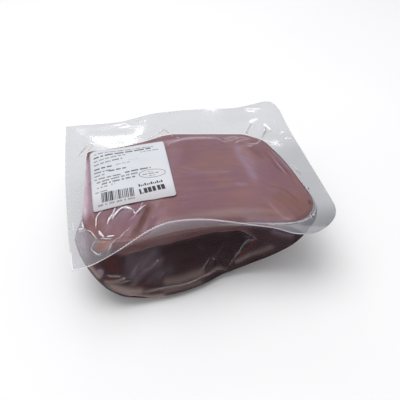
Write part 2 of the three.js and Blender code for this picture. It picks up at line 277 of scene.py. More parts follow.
@dataclass(frozen=True)
class BreastForm:
    """The breast's outer form, out to its film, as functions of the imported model's driving sizes."""

    seal: SealLine = SealLine()
    crown_height: float = 8.0
    crown_flatness: float = 8.0
    sunk_fade: float = 0.12
    floor_press: float = 6.7
    floor_ease: float = 1.5
    bulge_left: float = 9.0
    bulge_right: float = 5.6
    bulge_front: float = 40.0
    bulge_back: float = 3.0
    bulge_focus: float = 2.6
    bulge_ease: float = 1.4
    front_bulge_fade: Pair = (-118.0, 63.0)
    side_bulge_fade: Pair = (-55.0, -30.0)
    widest_front: float = 0.82
    widest_elsewhere: float = 0.25
    widest_measured_at: float = 0.75
    squareness_front: float = 1.8
    squareness_elsewhere: float = 2.6
    thinning_left: Triple = (31.0, 96.0, 1.0)
    thinning_right: Triple = (-4.0, 62.0, 0.8)
    thinning_back: Triple = (-44.0, 80.0, 1.0)
    flap_crease: Groove = Groove(((-40, -52), (-48, -64), (-58, -86)), 3.0, 6.0)
    flap_sag: Groove = Groove(((-88, -60), (-84, -66)), 5.5, 30.0)
    lower_groove: Groove = Groove(((52, -2), (39, -11), (27, -24), (15, -36), (8, -46)), 4.5, 7.0)
    hollow_middle: Pair = (2.0, -17.0)
    hollow_half: Pair = (46.0, 10.0)
    hollow_depth: float = 7.0
    relief_fade_depth: float = 8.0
    relief_fade_radius: Pair = (10.0, 60.0)
    front_turns: Pair = (-0.3, 0.7)

    def crown(self, plan: np.ndarray) -> np.ndarray:
        """The height of the upper face over the seal line at plan points."""
        share = np.minimum(1, np.hypot(*(plan - HEART).T) / self.seal.reach(bearing(plan)))
        sunk = self.flap_crease.depth_at(plan) + self.flap_sag.depth_at(plan)
        domed = self.crown_height * (1 - share**self.crown_flatness)
        return domed - sunk * ease(1 - share, 0, self.sunk_fade)

    def depth(self, plan: np.ndarray) -> np.ndarray:
        """How deep the breast is under the seal line, before the table presses it flat."""

        def kept(thinning: Triple, distance: np.ndarray) -> np.ndarray:
            """The share of the depth that one side's thinning leaves at a distance from the origin."""
            start, end, loss = thinning
            return 1 - loss * np.clip((distance - start) / (end - start), 0, 1) ** 2

        lengthwise = kept(self.thinning_left, -plan[:, 0]) * kept(self.thinning_right, plan[:, 0])
        return (SEAL_HEIGHT + self.floor_press) * lengthwise * kept(self.thinning_back, plan[:, 1])

    def bulge(self, angle: np.ndarray) -> np.ndarray:
        """How far the lower film bulges out past the seal line, in directions from HEART."""
        way = pointing(angle)
        edge = HEART + way * self.seal.reach(angle)[:, None]
        front = self.bulge_front * (1 - ease(edge[:, 0], *self.front_bulge_fade))
        aside = np.where(way[:, 0] < 0, self.bulge_left, self.bulge_right)
        lengthwise = aside * (1 - ease(edge[:, 1], *self.side_bulge_fade))
        crosswise = np.where(way[:, 1] < 0, front, self.bulge_back)
        shares = np.abs(way) ** self.bulge_focus
        return shares[:, 0] * lengthwise + shares[:, 1] * crosswise

    def front_relief(self, x: np.ndarray, z: np.ndarray) -> np.ndarray:
        """How far the groove and the hollow cut into the front wall, at heights from the seal line."""
        along = ((x - self.hollow_middle[0]) / self.hollow_half[0]) ** 4
        across = ((z - self.hollow_middle[1]) / self.hollow_half[1]) ** 2
        hollow = self.hollow_depth * np.exp(-along - across)
        groove = self.lower_groove.depth_at(np.stack([x, z], axis=1))
        return (groove + hollow) * ease(-z, 0, self.relief_fade_depth)

    def crown_ring(self, angle: np.ndarray, share: float) -> np.ndarray:
        """A ring of points of the upper face, at a share of the way from HEART to the seal line."""
        plan = HEART + pointing(angle) * (self.seal.reach(angle) * share)[:, None]
        return np.column_stack([plan, SEAL_HEIGHT + self.crown(plan)])

    def lower_ring(self, angle: np.ndarray, way: float) -> np.ndarray:
        """A ring of points below the seal line.

        Args:
            angle: The points' directions from HEART.
            way: 0 on the seal line, 1 where the wall is widest, and 2 in the middle of the underside.

        Returns:
            The points, one a row.
        """
        out = pointing(angle)
        reach = self.seal.reach(angle)
        front = ease(-np.sin(angle), *self.front_turns)
        bulge = self.bulge(angle)
        widest = reach + bulge
        share = self.widest_elsewhere + (self.widest_front - self.widest_elsewhere) * front
        widest_depth = share * self.depth(HEART + out * (self.widest_measured_at * reach)[:, None])
        if way <= 1:
            radius = reach + bulge * math.sin(math.pi / 2 * way) ** self.bulge_ease
            depth = widest_depth * way
        else:
            square = self.squareness_elsewhere + (self.squareness_front - self.squareness_elsewhere) * front
            turn = math.pi / 2 * (way - 1)
            radius = widest * math.cos(turn) ** (2 / square)
            floor = np.maximum(widest_depth, self.depth(HEART + out * radius[:, None]))
            depth = widest_depth + (floor - widest_depth) * math.sin(turn) ** (2 / square)
        cut = self.front_relief(HEART[0] + out[:, 0] * radius, -depth)
        radius = radius - front * cut * ease(radius, *self.relief_fade_radius)
        return np.column_stack([HEART + out * radius[:, None], SEAL_HEIGHT - self.pressed(depth)])

    def pressed(self, depth: np.ndarray) -> np.ndarray:
        """Depths kept above the table, with the flat spot's edge rounded off."""
        share = np.clip(0.5 + (SEAL_HEIGHT - depth) / (2 * self.floor_ease), 0, 1)
        return SEAL_HEIGHT + (depth - SEAL_HEIGHT) * share - self.floor_ease * share * (1 - share)


class Face(Enum):
    """The face of the pack that a line is drawn on, and so what its two numbers mean."""

    TOP = "X and Y on the upper film"
    FRONT = "X and height from the seal line on the front wall"


class Profile(Enum):
    """The cross-section of a line of relief."""

    RIDGE = 1.0
    CREASE = -1.0


class Tint(Enum):
    """A colour mask that the meat's mesh carries, or, for the veil, the film's."""

    LILAC = "lilac"
    PALE = "pale"
    BROWN = "brown"
    BLOOD_AND_CREASE_SHADE = "blood_and_crease_shade"
    VEIL = "veil"


@dataclass(frozen=True)
class Relief:
    """A ridge or crease along a smooth line, which fades out at its ends."""

    path: Line
    half_width: float
    height: float
    profile: Profile = Profile.RIDGE
    face: Face = Face.TOP
    end_share: float = 0.18
    end_height: float = 0.15
    bell_reach: float = 3.2

    def at(self, places: np.ndarray) -> np.ndarray:
        """Its height at places of its face, negative in a crease."""
        curve = smooth_path(self.path)
        margin = self.bell_reach * self.half_width
        inside = (places > curve.min(axis=0) - margin) & (places < curve.max(axis=0) + margin)
        close = inside.all(axis=1)
        height = np.zeros(len(places))
        distance, along, _ = near_path(places[close], curve)
        fade = ease(along, 0, self.end_share) * ease(1 - along, 0, self.end_share)
        fade = self.end_height + (1 - self.end_height) * fade
        height[close] = self.profile.value * self.height * bell(distance, self.half_width) * fade
        return height


class Cast(Enum):
    """What the crease along a fold of film looks like."""

    # A painted highlight along the crease.
    PAINTED_HIGHLIGHT_LINE = "a bright line"
    JUICE = "a line of thin juice"
    # A painted shadow along the crease.
    PAINTED_SHADOW_LINE = "a dark line"


@dataclass(frozen=True)
class Fold(Relief):
    """A pinched fold of film: a ridge with a crease along its crest."""

    # Strength of the line painted along the crest: painted highlight, juice or painted shadow, by its cast.
    shine: float = 0.5
    crease_width: float = 0.5
    cast: Cast = Cast.PAINTED_HIGHLIGHT_LINE


@dataclass(frozen=True)
class Stroke:
    """A soft stroke of one tint along a smooth line."""

    tint: Tint
    path: Line
    half_width: float
    strength: float = 1.0
    face: Face = Face.TOP
    ends: Pair = (-0.05, 0.15)

    def at(self, places: np.ndarray) -> np.ndarray:
        """Its strength at places of its face."""
        distance, along, _ = near_path(places, smooth_path(self.path))
        fade = ease(along, *self.ends) * ease(1 - along, *self.ends)
        return self.strength * bell(distance, self.half_width) * fade


def strokes_of(tint: Tint, face: Face, *rows: tuple[float, float, Line]) -> tuple[Stroke, ...]:
    """Makes the strokes of one tint on one face.

    Args:
        tint: Their tint.
        face: Their face.
        *rows: The half width of each, its strength and its path.

    Returns:
        The strokes.
    """
    return tuple(Stroke(tint, path, half_width, strength, face) for half_width, strength, path in rows)


def folds_of(face: Face, *rows: tuple) -> tuple[Fold, ...]:
    """Makes the folds of one face.

    Args:
        face: Their face.
        *rows: The half width of each, its height, its shine, its crease's width, its path and, unless it is
            a white painted highlight, its cast.

    Returns:
        The folds, in the same order.
    """
    folds = []
    for half_width, height, shine, width, path, *cast in rows:
        look = cast[0] if cast else Cast.PAINTED_HIGHLIGHT_LINE
        folds.append(Fold(path, half_width, height, face=face, shine=shine, crease_width=width, cast=look))
    return tuple(folds)


def painted(strokes: tuple[Stroke, ...], tint: Tint, skin: "Skin") -> np.ndarray:
    """Lays the strokes of one tint.

    Args:
        strokes: Strokes of any tint.
        tint: The tint that is laid.
        skin: The points that it is laid on.

    Returns:
        The tint's strength at each point, from 0 to 1.
    """
    total = np.zeros(len(skin.points))
    for stroke in strokes:
        if stroke.tint is tint:
            total = np.maximum(total, stroke.at(skin.places(stroke.face)) * skin.belongs(stroke.face))
    return np.clip(total, 0, 1)


class NodeBoard:
    """Lays out nodes in a material's tree or a group's."""

    def __init__(self, tree: Tree) -> None:
        """Starts with the tree's own nodes."""
        self.tree = tree

    def add(self, kind: str, settings: dict | None = None, **inputs: object) -> Node:
        """Adds a node.

        Args:
            kind: The node's type name.
            settings: Values of the node's own properties.
            **inputs: A value or a socket for each input, by its name with underscores for spaces.

        Returns:
            The node.
        """
        node = self.tree.nodes.new(kind)
        for name, value in (settings or {}).items():
            setattr(node, name, value)
        self.wire(node, **inputs)
        return node

    def wire(self, node: Node, **inputs: object) -> None:
        """Feeds a value or a socket to inputs of a node, by their names with underscores for spaces."""
        for name, value in inputs.items():
            self.feed(node.inputs[name.replace("_", " ")], value)

    def feed(self, socket: Socket, value: object) -> None:
        """Links a socket into an input, or sets a plain value on it."""
        if isinstance(value, Socket):
            self.tree.links.new(value, socket)
        else:
            socket.default_value = value

    def maths(self, operation: str, *values: object, clamp: bool = False) -> Socket:
        """A sum, product or other operation on two or three numbers."""
        node = self.add("ShaderNodeMath", {"operation": operation, "use_clamp": clamp})
        for socket, value in zip(node.inputs, values):
            self.feed(socket, value)
        return node.outputs[0]

    def span(self, value: object, low: Pair, high: Pair) -> Socket:
        """Maps a number from one span to another: from low[0]..high[0] to low[1]..high[1]."""
        node = self.add("ShaderNodeMapRange", {"interpolation_type": "SMOOTHSTEP"}, Value=value)
        self.wire(node, From_Min=low[0], From_Max=high[0], To_Min=low[1], To_Max=high[1])
        return node.outputs["Result"]

    def blend(self, share: object, first: object, second: object, mode: str = "MIX") -> Socket:
        """Mixes two colours."""
        node = self.add("ShaderNodeMix", {"data_type": "RGBA", "blend_type": mode})
        self.feed(node.inputs["Factor"], share)
        self.feed(node.inputs[6], first)
        self.feed(node.inputs[7], second)
        return node.outputs[2]

    def mask(self, name: str) -> Socket:
        """A number that the mesh carries."""
        return self.add("ShaderNodeAttribute", {"attribute_name": name}).outputs["Fac"]

    def places(self, scale: Triple = (1, 1, 1)) -> Socket:
        """Places on the piece in millimetres, times a scale."""
        where = self.add("ShaderNodeTexCoord").outputs["Object"]
        per_metre = tuple(value / MM for value in scale)
        return self.add("ShaderNodeMapping", Vector=where, Scale=per_metre).outputs["Vector"]

    def noise(self, where: Socket, scale: object, detail: float, rough: float = 0.55) -> Socket:
        """Smooth noise from 0 to 1, in turns per millimetre."""
        node = self.add("ShaderNodeTexNoise", Vector=where, Scale=scale, Detail=detail, Roughness=rough)
        return node.outputs[0]


def new_group(name: str, inputs: dict[str, float], outputs: tuple[str, ...]) -> Tree:
    """Makes an empty shader node group with named number sockets.

    Args:
        name: The group's name.
        inputs: Each input's name and its usual value. The name Vector makes a vector input.
        outputs: The outputs' names.

    Returns:
        The group's tree.
    """
    tree = bpy.data.node_groups.new(name, "ShaderNodeTree")
    for label, value in inputs.items():
        kind = "NodeSocketVector" if label == "Vector" else "NodeSocketFloat"
        socket = tree.interface.new_socket(label, in_out="INPUT", socket_type=kind)
        if label != "Vector":
            socket.default_value = value
    for label in outputs:
        tree.interface.new_socket(label, in_out="OUTPUT", socket_type="NodeSocketFloat")
    return tree


class SharedEffects:
    """The node groups that more than one finish uses."""

    def __init__(self) -> None:
        """Builds each group once."""
        self.grain = self.build_grain()
        self.haze = self.build_haze()

    def build_grain(self) -> Tree:
        """Long fibres along the first axis: a tone, and a height to bump."""
        inputs = {"Vector": 0, "Fine": 1.1, "Broad": 0.22, "Stretch": 22}
        tree = new_group("Muscle_Fibres", inputs, ("Tone", "Height"))
        board = NodeBoard(tree)
        given = board.add("NodeGroupInput").outputs
        split = board.add("ShaderNodeSeparateXYZ", Vector=given["Vector"])
        along = board.maths("DIVIDE", split.outputs[0], given["Stretch"])
        where = board.add("ShaderNodeCombineXYZ", X=along, Y=split.outputs[1], Z=split.outputs[2]).outputs[0]
        fine = board.noise(where, given["Fine"], 2.0)
        broad = board.noise(where, given["Broad"], 3.0)
        crossing = board.noise(given["Vector"], 0.35, 2.0)
        both = board.maths("MULTIPLY_ADD", fine, 0.45, board.maths("MULTIPLY", broad, 0.4))
        tone = board.maths("MULTIPLY_ADD", crossing, 0.15, both)
        board.add("NodeGroupOutput", Tone=tone, Height=fine)
        return tree

    def build_haze(self) -> Tree:
        """The uneven cloudiness of thin film, with fine scuffs."""
        tree = new_group("Film_Haze", {"Vector": 0, "Cloud": 0.03, "Scuff": 0.5}, ("Haze", "Height"))
        board = NodeBoard(tree)
        given = board.add("NodeGroupInput").outputs
        cloud = board.noise(given["Vector"], given["Cloud"], 3.0)
        scuff = board.noise(given["Vector"], given["Scuff"], 4.0, 0.7)
        haze = board.maths("MULTIPLY_ADD", cloud, 0.7, board.maths("MULTIPLY", scuff, 0.3))
        board.add("NodeGroupOutput", Haze=haze, Height=scuff)
        return tree


def new_material(name: str) -> tuple[Material, NodeBoard, Node]:
    """Makes a node material.

    Args:
        name: The material's name.

    Returns:
        The material, a board for its nodes, and its Principled shader.
    """
    material = bpy.data.materials.new(name)
    material.use_nodes = True
    return material, NodeBoard(material.node_tree), material.node_tree.nodes["Principled BSDF"]


@dataclass(frozen=True)
class MeatFinish:
    """Moist raw poultry with fibres, fat and juice, pink-brown above, with painted shade below."""

    mauve: Colour = linear(122, 86, 97)
    tan: Colour = linear(130, 92, 93)
    lilac: Colour = linear(142, 116, 136)
    pale: Colour = linear(160, 138, 132)
    brown: Colour = linear(112, 78, 66)
    # Dark red patches, also laid into creases and recesses as painted shade.
    blood_and_crease_shade: Colour = linear(84, 36, 34)
    # Painted shade: the dark colour laid where the shade mask marks the underside and the wall under the
    # ledge.
    under: Colour = linear(45, 27, 32)

    def material(self, effects: SharedEffects) -> Material:
        """Builds the material, which reads the masks that the meat's mesh carries."""
        material, board, shader = new_material("raw_turkey_meat")
        fibre = board.add("ShaderNodeAttribute", {"attribute_name": "fibre"}).outputs["Vector"]
        grain = board.add("ShaderNodeGroup", {"node_tree": effects.grain}, Vector=fibre, Fine=1.0)
        cloud = board.noise(board.places(), 0.035, 3.0)
        base = board.blend(board.span(cloud, (0.36, 0), (0.66, 1)), self.mauve, self.tan)
        over = (self.brown, self.under, self.lilac, self.pale, self.blood_and_crease_shade)
        for name, colour in zip(("brown", "shade", "lilac", "pale", "blood_and_crease_shade"), over):
            base = board.blend(board.mask(name), base, colour)
        tone = board.span(grain.outputs["Tone"], (0.3, 0.9), (0.7, 1.09))
        grey = board.add("ShaderNodeCombineColor", Red=tone, Green=tone, Blue=tone).outputs[0]
        base = board.blend(1.0, base, grey, "MULTIPLY")
        rough = board.span(cloud, (0.3, 0.36), (0.7, 0.52))
        bump = board.add("ShaderNodeBump", Strength=0.3, Distance=0.4 * MM, Height=grain.outputs["Height"])
        board.wire(shader, Base_Color=base, Roughness=rough, Normal=bump.outputs[0], Specular_IOR_Level=0.12)
        board.wire(shader, Subsurface_Weight=0.06, Subsurface_Scale=2 * MM)
        return material


@dataclass(frozen=True)
class FilmFinish:
    """Clear glossy film. What it doesn't mirror, it lets through."""

    name: str
    clearness: float
    cloud: float
    milky: Colour = linear(226, 228, 234)
    # Painted shadow: the grey that the film is painted where its shadow mask is set.
    painted_shadow_grey: Colour = linear(96, 98, 106)
    veiled: Colour = linear(222, 216, 226)
    metallic: float = 1.0
    roughness: Pair = (0.06, 0.14)
    gain: float = 1.0
    wall_gain: float = 0.3
    wall_cloud: float = 0.1
    fold_share: float = 0.45
    painted_shadow_share: float = 0.32

    def material(self, effects: SharedEffects) -> Material:
        """Builds the material. The mesh's masks make film milky, veiled or hidden, and grey it as painted
        shadow.
        """
        material, board, shader = new_material(self.name)
        haze = board.add("ShaderNodeGroup", {"node_tree": effects.haze}, Vector=board.places())
        outside = board.maths("SUBTRACT", 1.0, board.add("ShaderNodeNewGeometry").outputs["Backfacing"])
        gloss = board.maths("MULTIPLY", board.add("ShaderNodeFresnel", IOR=1.5).outputs[0], outside)
        wall = board.mask("wall")
        mirrored = board.maths("MULTIPLY", gloss, board.span(wall, (0, self.gain), (1, self.wall_gain)))
        least = 1 - self.clearness
        cloudy = board.span(haze.outputs["Haze"], (0.3, least), (0.7, least + self.cloud))
        cloudy = board.maths("MULTIPLY", cloudy, board.span(wall, (0, 1), (1, self.wall_cloud)))
        folded = board.maths("MULTIPLY", board.mask("crinkle"), self.fold_share)
        # Painted shadow: greys and thickens the film as a shadowed floor seen through it would.
        painted_shadow = board.mask("painted_shadow")
        streaks = board.noise(board.places((1.0, 0.12, 0.12)), 0.3, 3.0)
        streaky = board.span(streaks, (0.35, 0.76), (0.65, 1.0))
        veil = board.maths("MULTIPLY", board.mask(Tint.VEIL.value), streaky)
        thick = board.maths("ADD", folded, board.maths("MULTIPLY", painted_shadow, self.painted_shadow_share))
        thick = board.maths("ADD", thick, veil)
        alpha = board.maths("ADD", board.maths("ADD", mirrored, cloudy), thick, clamp=True)
        alpha = board.maths("MULTIPLY", alpha, board.maths("SUBTRACT", 1.0, board.mask("hidden")))
        veiled = board.span(veil, (0.0, 0), (0.12, 1))
        base = board.blend(veiled, board.blend(painted_shadow, self.milky, self.painted_shadow_grey), self.veiled)
        if self.metallic:
            board.wire(shader, Metallic=board.span(veiled, (0, self.metallic), (1, 0)))
        rough = board.span(haze.outputs["Height"], (0.3, self.roughness[0]), (0.7, self.roughness[1]))
        board.wire(shader, Alpha=alpha, Base_Color=base, Roughness=rough, IOR=1.5)
        return material


@dataclass(frozen=True)
class CreaseFinish:
    """Film pinched into creases, with lines along them: white painted highlights, dark painted shadow, or
    juice.
    """

    # Painted highlight: the colour of the bright crease lines.
    white: Colour = linear(246, 245, 250)
    juicy: Colour = linear(150, 104, 88)
    # Painted shadow: the colour of the dark crease lines.
    painted_crease_shadow: Colour = linear(72, 66, 78)

    def material(self) -> Material:
        """Builds the material, which reads how strong each crease is from the mesh."""
        material, board, shader = new_material("crease_juice_and_painted_light")
        base = board.blend(board.mask("juicy"), self.white, self.juicy)
        base = board.blend(board.mask("painted_crease_shadow"), base, self.painted_crease_shadow)
        worn = board.span(board.noise(board.places(), 0.45, 2.0), (0.3, 0.55), (0.6, 1.0))
        alpha = board.maths("MULTIPLY", board.mask("crease"), worn, clamp=True)
        board.wire(shader, Base_Color=base, Alpha=alpha, Roughness=0.22)
        return material


@dataclass(frozen=True)
class PaperFinish:
    """Smooth white label paper with a faint cool cast, a fine mottle and painted shade towards its lower
    edge.
    """

    light: Colour = linear(208, 210, 216)
    dark: Colour = linear(199, 202, 209)
    # Painted shade: the darker colour towards the label's lower edge.
    lower: Colour = linear(184, 181, 186)

    def material(self, effects: SharedEffects) -> Material:
        """Builds the material."""
        material, board, shader = new_material("label_paper")
        haze = board.add("ShaderNodeGroup", {"node_tree": effects.haze}, Vector=board.places())
        board.wire(haze, Cloud=0.025, Scuff=2.2)
        colour = board.blend(board.span(haze.outputs["Haze"], (0.35, 0), (0.65, 1)), self.dark, self.light)
        up = board.add("ShaderNodeSeparateXYZ", Vector=board.places()).outputs[1]
        # Painted shade: darker towards the lower edge, where the label curves down.
        colour = board.blend(board.span(up, (-46, 1), (-22, 0)), colour, self.lower)
        bump = board.add("ShaderNodeBump", Strength=0.12, Distance=0.1 * MM, Height=haze.outputs["Height"])
        board.wire(shader, Base_Color=colour, Normal=bump.outputs[0], Roughness=0.42, Specular_IOR_Level=0.4)
        return material


@dataclass(frozen=True)
class InkFinish:
    """Thermal print: dark grey, thinner in places."""

    dark: Colour = linear(16, 16, 24)
    faded: Colour = linear(46, 46, 58)

    def material(self) -> Material:
        """Builds the material."""
        material, board, shader = new_material("label_ink")
        wear = board.span(board.noise(board.places(), 0.6, 3.0), (0.4, 0), (0.7, 1))
        board.wire(shader, Base_Color=board.blend(wear, self.dark, self.faded), Roughness=0.5)
        return material


@dataclass(frozen=True)
class JuiceFinish:
    """Pink-orange meat juice caught between the films."""

    thin: Colour = linear(170, 140, 136)
    thick: Colour = linear(158, 104, 88)

    def material(self) -> Material:
        """Builds the material."""
        material, board, shader = new_material("meat_juice")
        cloud = board.noise(board.places(), 0.16, 3.0)
        colour = board.blend(board.span(cloud, (0.35, 0), (0.65, 1)), self.thin, self.thick)
        rough = board.span(cloud, (0.3, 0.08), (0.7, 0.2))
        alpha = board.maths("MULTIPLY", board.mask("thick"), 0.8)
        board.wire(shader, Base_Color=colour, Roughness=rough, Alpha=alpha, Coat_Weight=0.4)
        return material


@dataclass(frozen=True)
class FloorFinish:
    """A plain pale table."""

    light: Colour = linear(247, 247, 248)
    dark: Colour = linear(243, 243, 245)

    def material(self) -> Material:
        """Builds the material."""
        material, board, shader = new_material("pale_floor")
        cloud = board.noise(board.places(), 0.004, 2.0)
        colour = board.blend(cloud, self.dark, self.light)
        board.wire(shader, Base_Color=colour, Roughness=0.8, Specular_IOR_Level=0.2)
        return material


def make_piece(name: str, points: np.ndarray, faces: list, material: Material) -> Piece:
    """Makes a smooth-shaded mesh piece from millimetre points.

    Args:
        name: The piece's name.
        points: Its points in millimetres, one a row.
        faces: Its faces, as lists of point numbers.
        material: Its material.

    Returns:
        The piece, linked into the scene.
    """
    mesh = bpy.data.meshes.new(name)
    mesh.from_pydata((points * MM).tolist(), [], faces)
    mesh.materials.append(material)
    mesh.shade_smooth()
    mesh.update()
    piece = bpy.data.objects.new(name, mesh)
    bpy.context.scene.collection.objects.link(piece)
    return piece


def carry(piece: Piece, name: str, values: np.ndarray) -> None:
    """Writes numbers or vectors, one for each point, into the piece's mesh."""
    kind, part = ("FLOAT", "value") if values.ndim == 1 else ("FLOAT_VECTOR", "vector")
    attribute = piece.data.attributes.new(name, kind, "POINT")
    attribute.data.foreach_set(part, values.astype(np.float32).ravel())


def seat(piece: Piece, slot: str, *nodes: str) -> Piece:
    """Moves a piece to the pack's place and fastens it, and hides the imported nodes it replaces."""
    piece.data.transform(Matrix.Translation(PACK_PLACE * MM))
    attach(piece, "root")
    if nodes:
        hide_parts(*nodes)
    log.info("%s: %d points, %d faces", piece.name, len(piece.data.vertices), len(piece.data.polygons))
    return piece


def ring_faces(ring_count: int, point_count: int, first: int = 0) -> np.ndarray:
    """Four-sided faces between rings of equally many points."""
    ring = np.arange(ring_count - 1)[:, None] * point_count + first
    here = np.arange(point_count)[None, :]
    after = (here + 1) % point_count
    corners = [ring + here, ring + point_count + here, ring + point_count + after, ring + after]
    return np.stack([corner.ravel() for corner in corners], axis=1)


def grid_faces(columns: int, rows: int, first: int = 0) -> list:
    """Four-sided faces of a grid of points, row by row."""
    here = (first + np.arange(rows - 1)[:, None] * columns + np.arange(columns - 1)).ravel()
    return np.stack([here, here + 1, here + columns + 1, here + columns], axis=1).tolist()


def point_normals(points: np.ndarray, quads: np.ndarray) -> np.ndarray:
    """Unit normals at the points of a mesh of four-sided faces, on their front side."""
    across = np.cross(points[quads[:, 2]] - points[quads[:, 0]], points[quads[:, 3]] - points[quads[:, 1]])
    total = np.zeros_like(points)
    for corner in range(4):
        np.add.at(total, quads[:, corner], across)
    length = np.linalg.norm(total, axis=1, keepdims=True)
    return total / np.maximum(length, 1e-9)


@dataclass
class Skin:
    """A fine net of points over the breast's upper face, its wall and its underside."""

    form: BreastForm = field(default_factory=BreastForm)
    stations: int = 500
    crown_rings: int = 78
    wall_rings: int = 40
    under_rings: int = 52
    focus: Pair = (-84.0, -72.0)
    focus_reach: float = 40.0
    focus_weight: float = 1.0
    wall_length: float = 45.0
    front_reach: Pair = (30.0, 60.0)
    front_turn: Pair = (-0.1, 0.2)
    foot_fade: Pair = (4.0, 13.0)

    def __post_init__(self) -> None:
        """Lays the net."""
        seal = self.form.seal
        angles = seal.directions(self.stations, self.focus, self.focus_reach, self.focus_weight)
        shares = np.sin(math.pi / 2 * np.arange(1, self.crown_rings + 1) / (self.crown_rings + 1))
        ways = [i / self.wall_rings for i in range(self.wall_rings + 1)]
        ways += [1 + i / self.under_rings for i in range(1, self.under_rings)]
        rings = [self.form.crown_ring(angles, share) for share in shares]
        rings += [self.form.lower_ring(angles, way) for way in ways]
        top = np.array([[*HEART, SEAL_HEIGHT + self.form.crown(HEART[None, :])[0]]])
        bottom = np.array([[*HEART, 0.0]])
        self.points = np.vstack([top, *rings, bottom])
        self.quads = ring_faces(len(rings), self.stations, 1)
        self.normals = point_normals(self.points, self.quads)
        self.normals[0] = (0, 0, 1)
        self.normals[-1] = (0, 0, -1)
        self.on_top = np.arange(len(self.points)) <= self.crown_rings * self.stations
        self.from_seal = self.seal_distance(angles, shares, ways)

    def seal_distance(self, angles: np.ndarray, shares: np.ndarray, ways: list[float]) -> np.ndarray:
        """About how far each point is from the seal line along the surface."""
        reach = self.form.seal.reach(angles)
        above = [reach * (1 - share) for share in shares]
        below = [np.full(len(angles), self.wall_length * way) for way in ways]
        return np.concatenate([[reach.mean()], *above, *below, [2 * self.wall_length]])

    def faces(self) -> list:
        """The net's faces, with a fan of triangles round each pole."""
        last = len(self.points) - 1
        start = last - self.stations
        fans = []
        for i in range(self.stations):
            after = (i + 1) % self.stations
            fans.append([0, 1 + i, 1 + after])
            fans.append([last, start + after, start + i])
        return self.quads.tolist() + fans

    def places(self, face: Face) -> np.ndarray:
        """The points' places on one face."""
        if face is Face.TOP:
            return self.points[:, :2]
        return np.column_stack([self.points[:, 0], self.points[:, 2] - SEAL_HEIGHT])

    def belongs(self, face: Face) -> np.ndarray:
        """1 for points on the face, 0 for others."""
        if face is Face.TOP:
            return self.on_top.astype(float)
        ahead = ease(-self.points[:, 1], *self.front_reach) * ease(-self.normals[:, 1], *self.front_turn)
        return np.where(self.on_top, 0.0, ahead)

    def relief(self, lines: tuple[Relief, ...]) -> np.ndarray:
        """The height that lines of relief give each point."""
        height = np.zeros(len(self.points))
        for line in lines:
            height += line.at(self.places(line.face)) * self.belongs(line.face)
        return height * ease(self.points[:, 2], *self.foot_fade)


@dataclass(frozen=True)
class Ledge:
    """The lower edge of the upper muscle on the front wall, under which the wall steps in."""

    path: Line = (
        (-84, -8.2), (-78, -9.8), (-72, -10.2), (-60, -9.2), (-47, -9.4), (-34, -11.2), (-16, -12.8),
        (0, -12.2), (13, -12.6), (30, -14.6), (42, -19),
    )
    step: float = 3.4
    step_span: Pair = (-0.6, 2.2)
    run_out: float = 15.0
    lip: float = 1.2
    lip_above: float = 2.0
    lip_half: float = 2.2
    starts: Pair = (-4.0, 14.0)
    ends: Pair = (-2.0, 12.0)

    def below(self, places: np.ndarray) -> np.ndarray:
        """How far places of the front are below the ledge, negative above it."""
        curve = smooth_path(self.path)
        return np.interp(places[:, 0], curve[:, 0], curve[:, 1]) - places[:, 1]

    def spans(self, places: np.ndarray) -> np.ndarray:
        """1 along the ledge and 0 past its ends."""
        past_start = places[:, 0] - self.path[0][0]
        before_end = self.path[-1][0] - places[:, 0]
        return ease(past_start, *self.starts) * ease(before_end, *self.ends)

    def step_at(self, places: np.ndarray) -> np.ndarray:
        """How far the wall steps in, at places of the front."""
        below = self.below(places)
        lip = self.lip * bell(below + self.lip_above, self.lip_half)
        runs_out = bell(np.maximum(below, 0), self.run_out)
        return (self.step * ease(below, *self.step_span) * runs_out - lip) * self.spans(places)


FRONT_FAT = ((57, -68.5), (59.5, -79), (63.5, -87), (68.5, -90.5), (73, -91.5))
BACK_FOLD = ((49.5, 22.5), (56, 26.5), (63, 28.5), (67.5, 26))
MEAT_RELIEF = (
    Relief(((-45, -48), (-49.5, -58), (-55, -68), (-60.5, -75.5), (-66.5, -82)),
           2.2, 2.2, Profile.CREASE),
    Relief(((77.5, 17), (80.5, 0.5), (85, -18), (90.5, -37), (91.5, -56)), 0.9, 0.7, Profile.CREASE),
    Relief(((82, 18), (86.5, -1), (91, -24.5), (93.5, -50.5)), 0.9, 0.6, Profile.CREASE),
    Relief(FRONT_FAT, 1.4, 0.8),
    Relief(((65, -48.5), (76.5, -57.5), (84.5, -75.5), (90, -81)), 1.3, 0.5, Profile.CREASE),
    Relief(((58, -40), (70, -56), (82, -70), (92, -78)), 1.4, 0.4, Profile.CREASE),
    Relief(((-30, -36), (-14, -46), (-24, -62)), 3.0, 0.5, Profile.CREASE),
    Relief(((17, -52.5), (4, -49.5), (-8, -46.5), (-16, -48), (-39, -46.5), (-66, -51)),
           2.4, 1.2, face=Face.FRONT),
    Relief(((43.5, -19), (39, -26.5), (34.5, -33), (25.5, -43), (20, -49.5)),
           2.6, 0.8, Profile.CREASE, Face.FRONT),
    Relief(((-95, -35.5), (-87.5, -34), (-80.5, -32.5), (-74, -31)),
           1.6, 1.2, Profile.CREASE, Face.FRONT),
    Relief(((-95, -30.5), (-88.5, -30.5), (-77, -30)), 1.2, 0.9, face=Face.FRONT),
    Relief(((-84, -15), (-84, -23), (-80, -28)), 2.4, 1.0, Profile.CREASE, Face.FRONT),
)
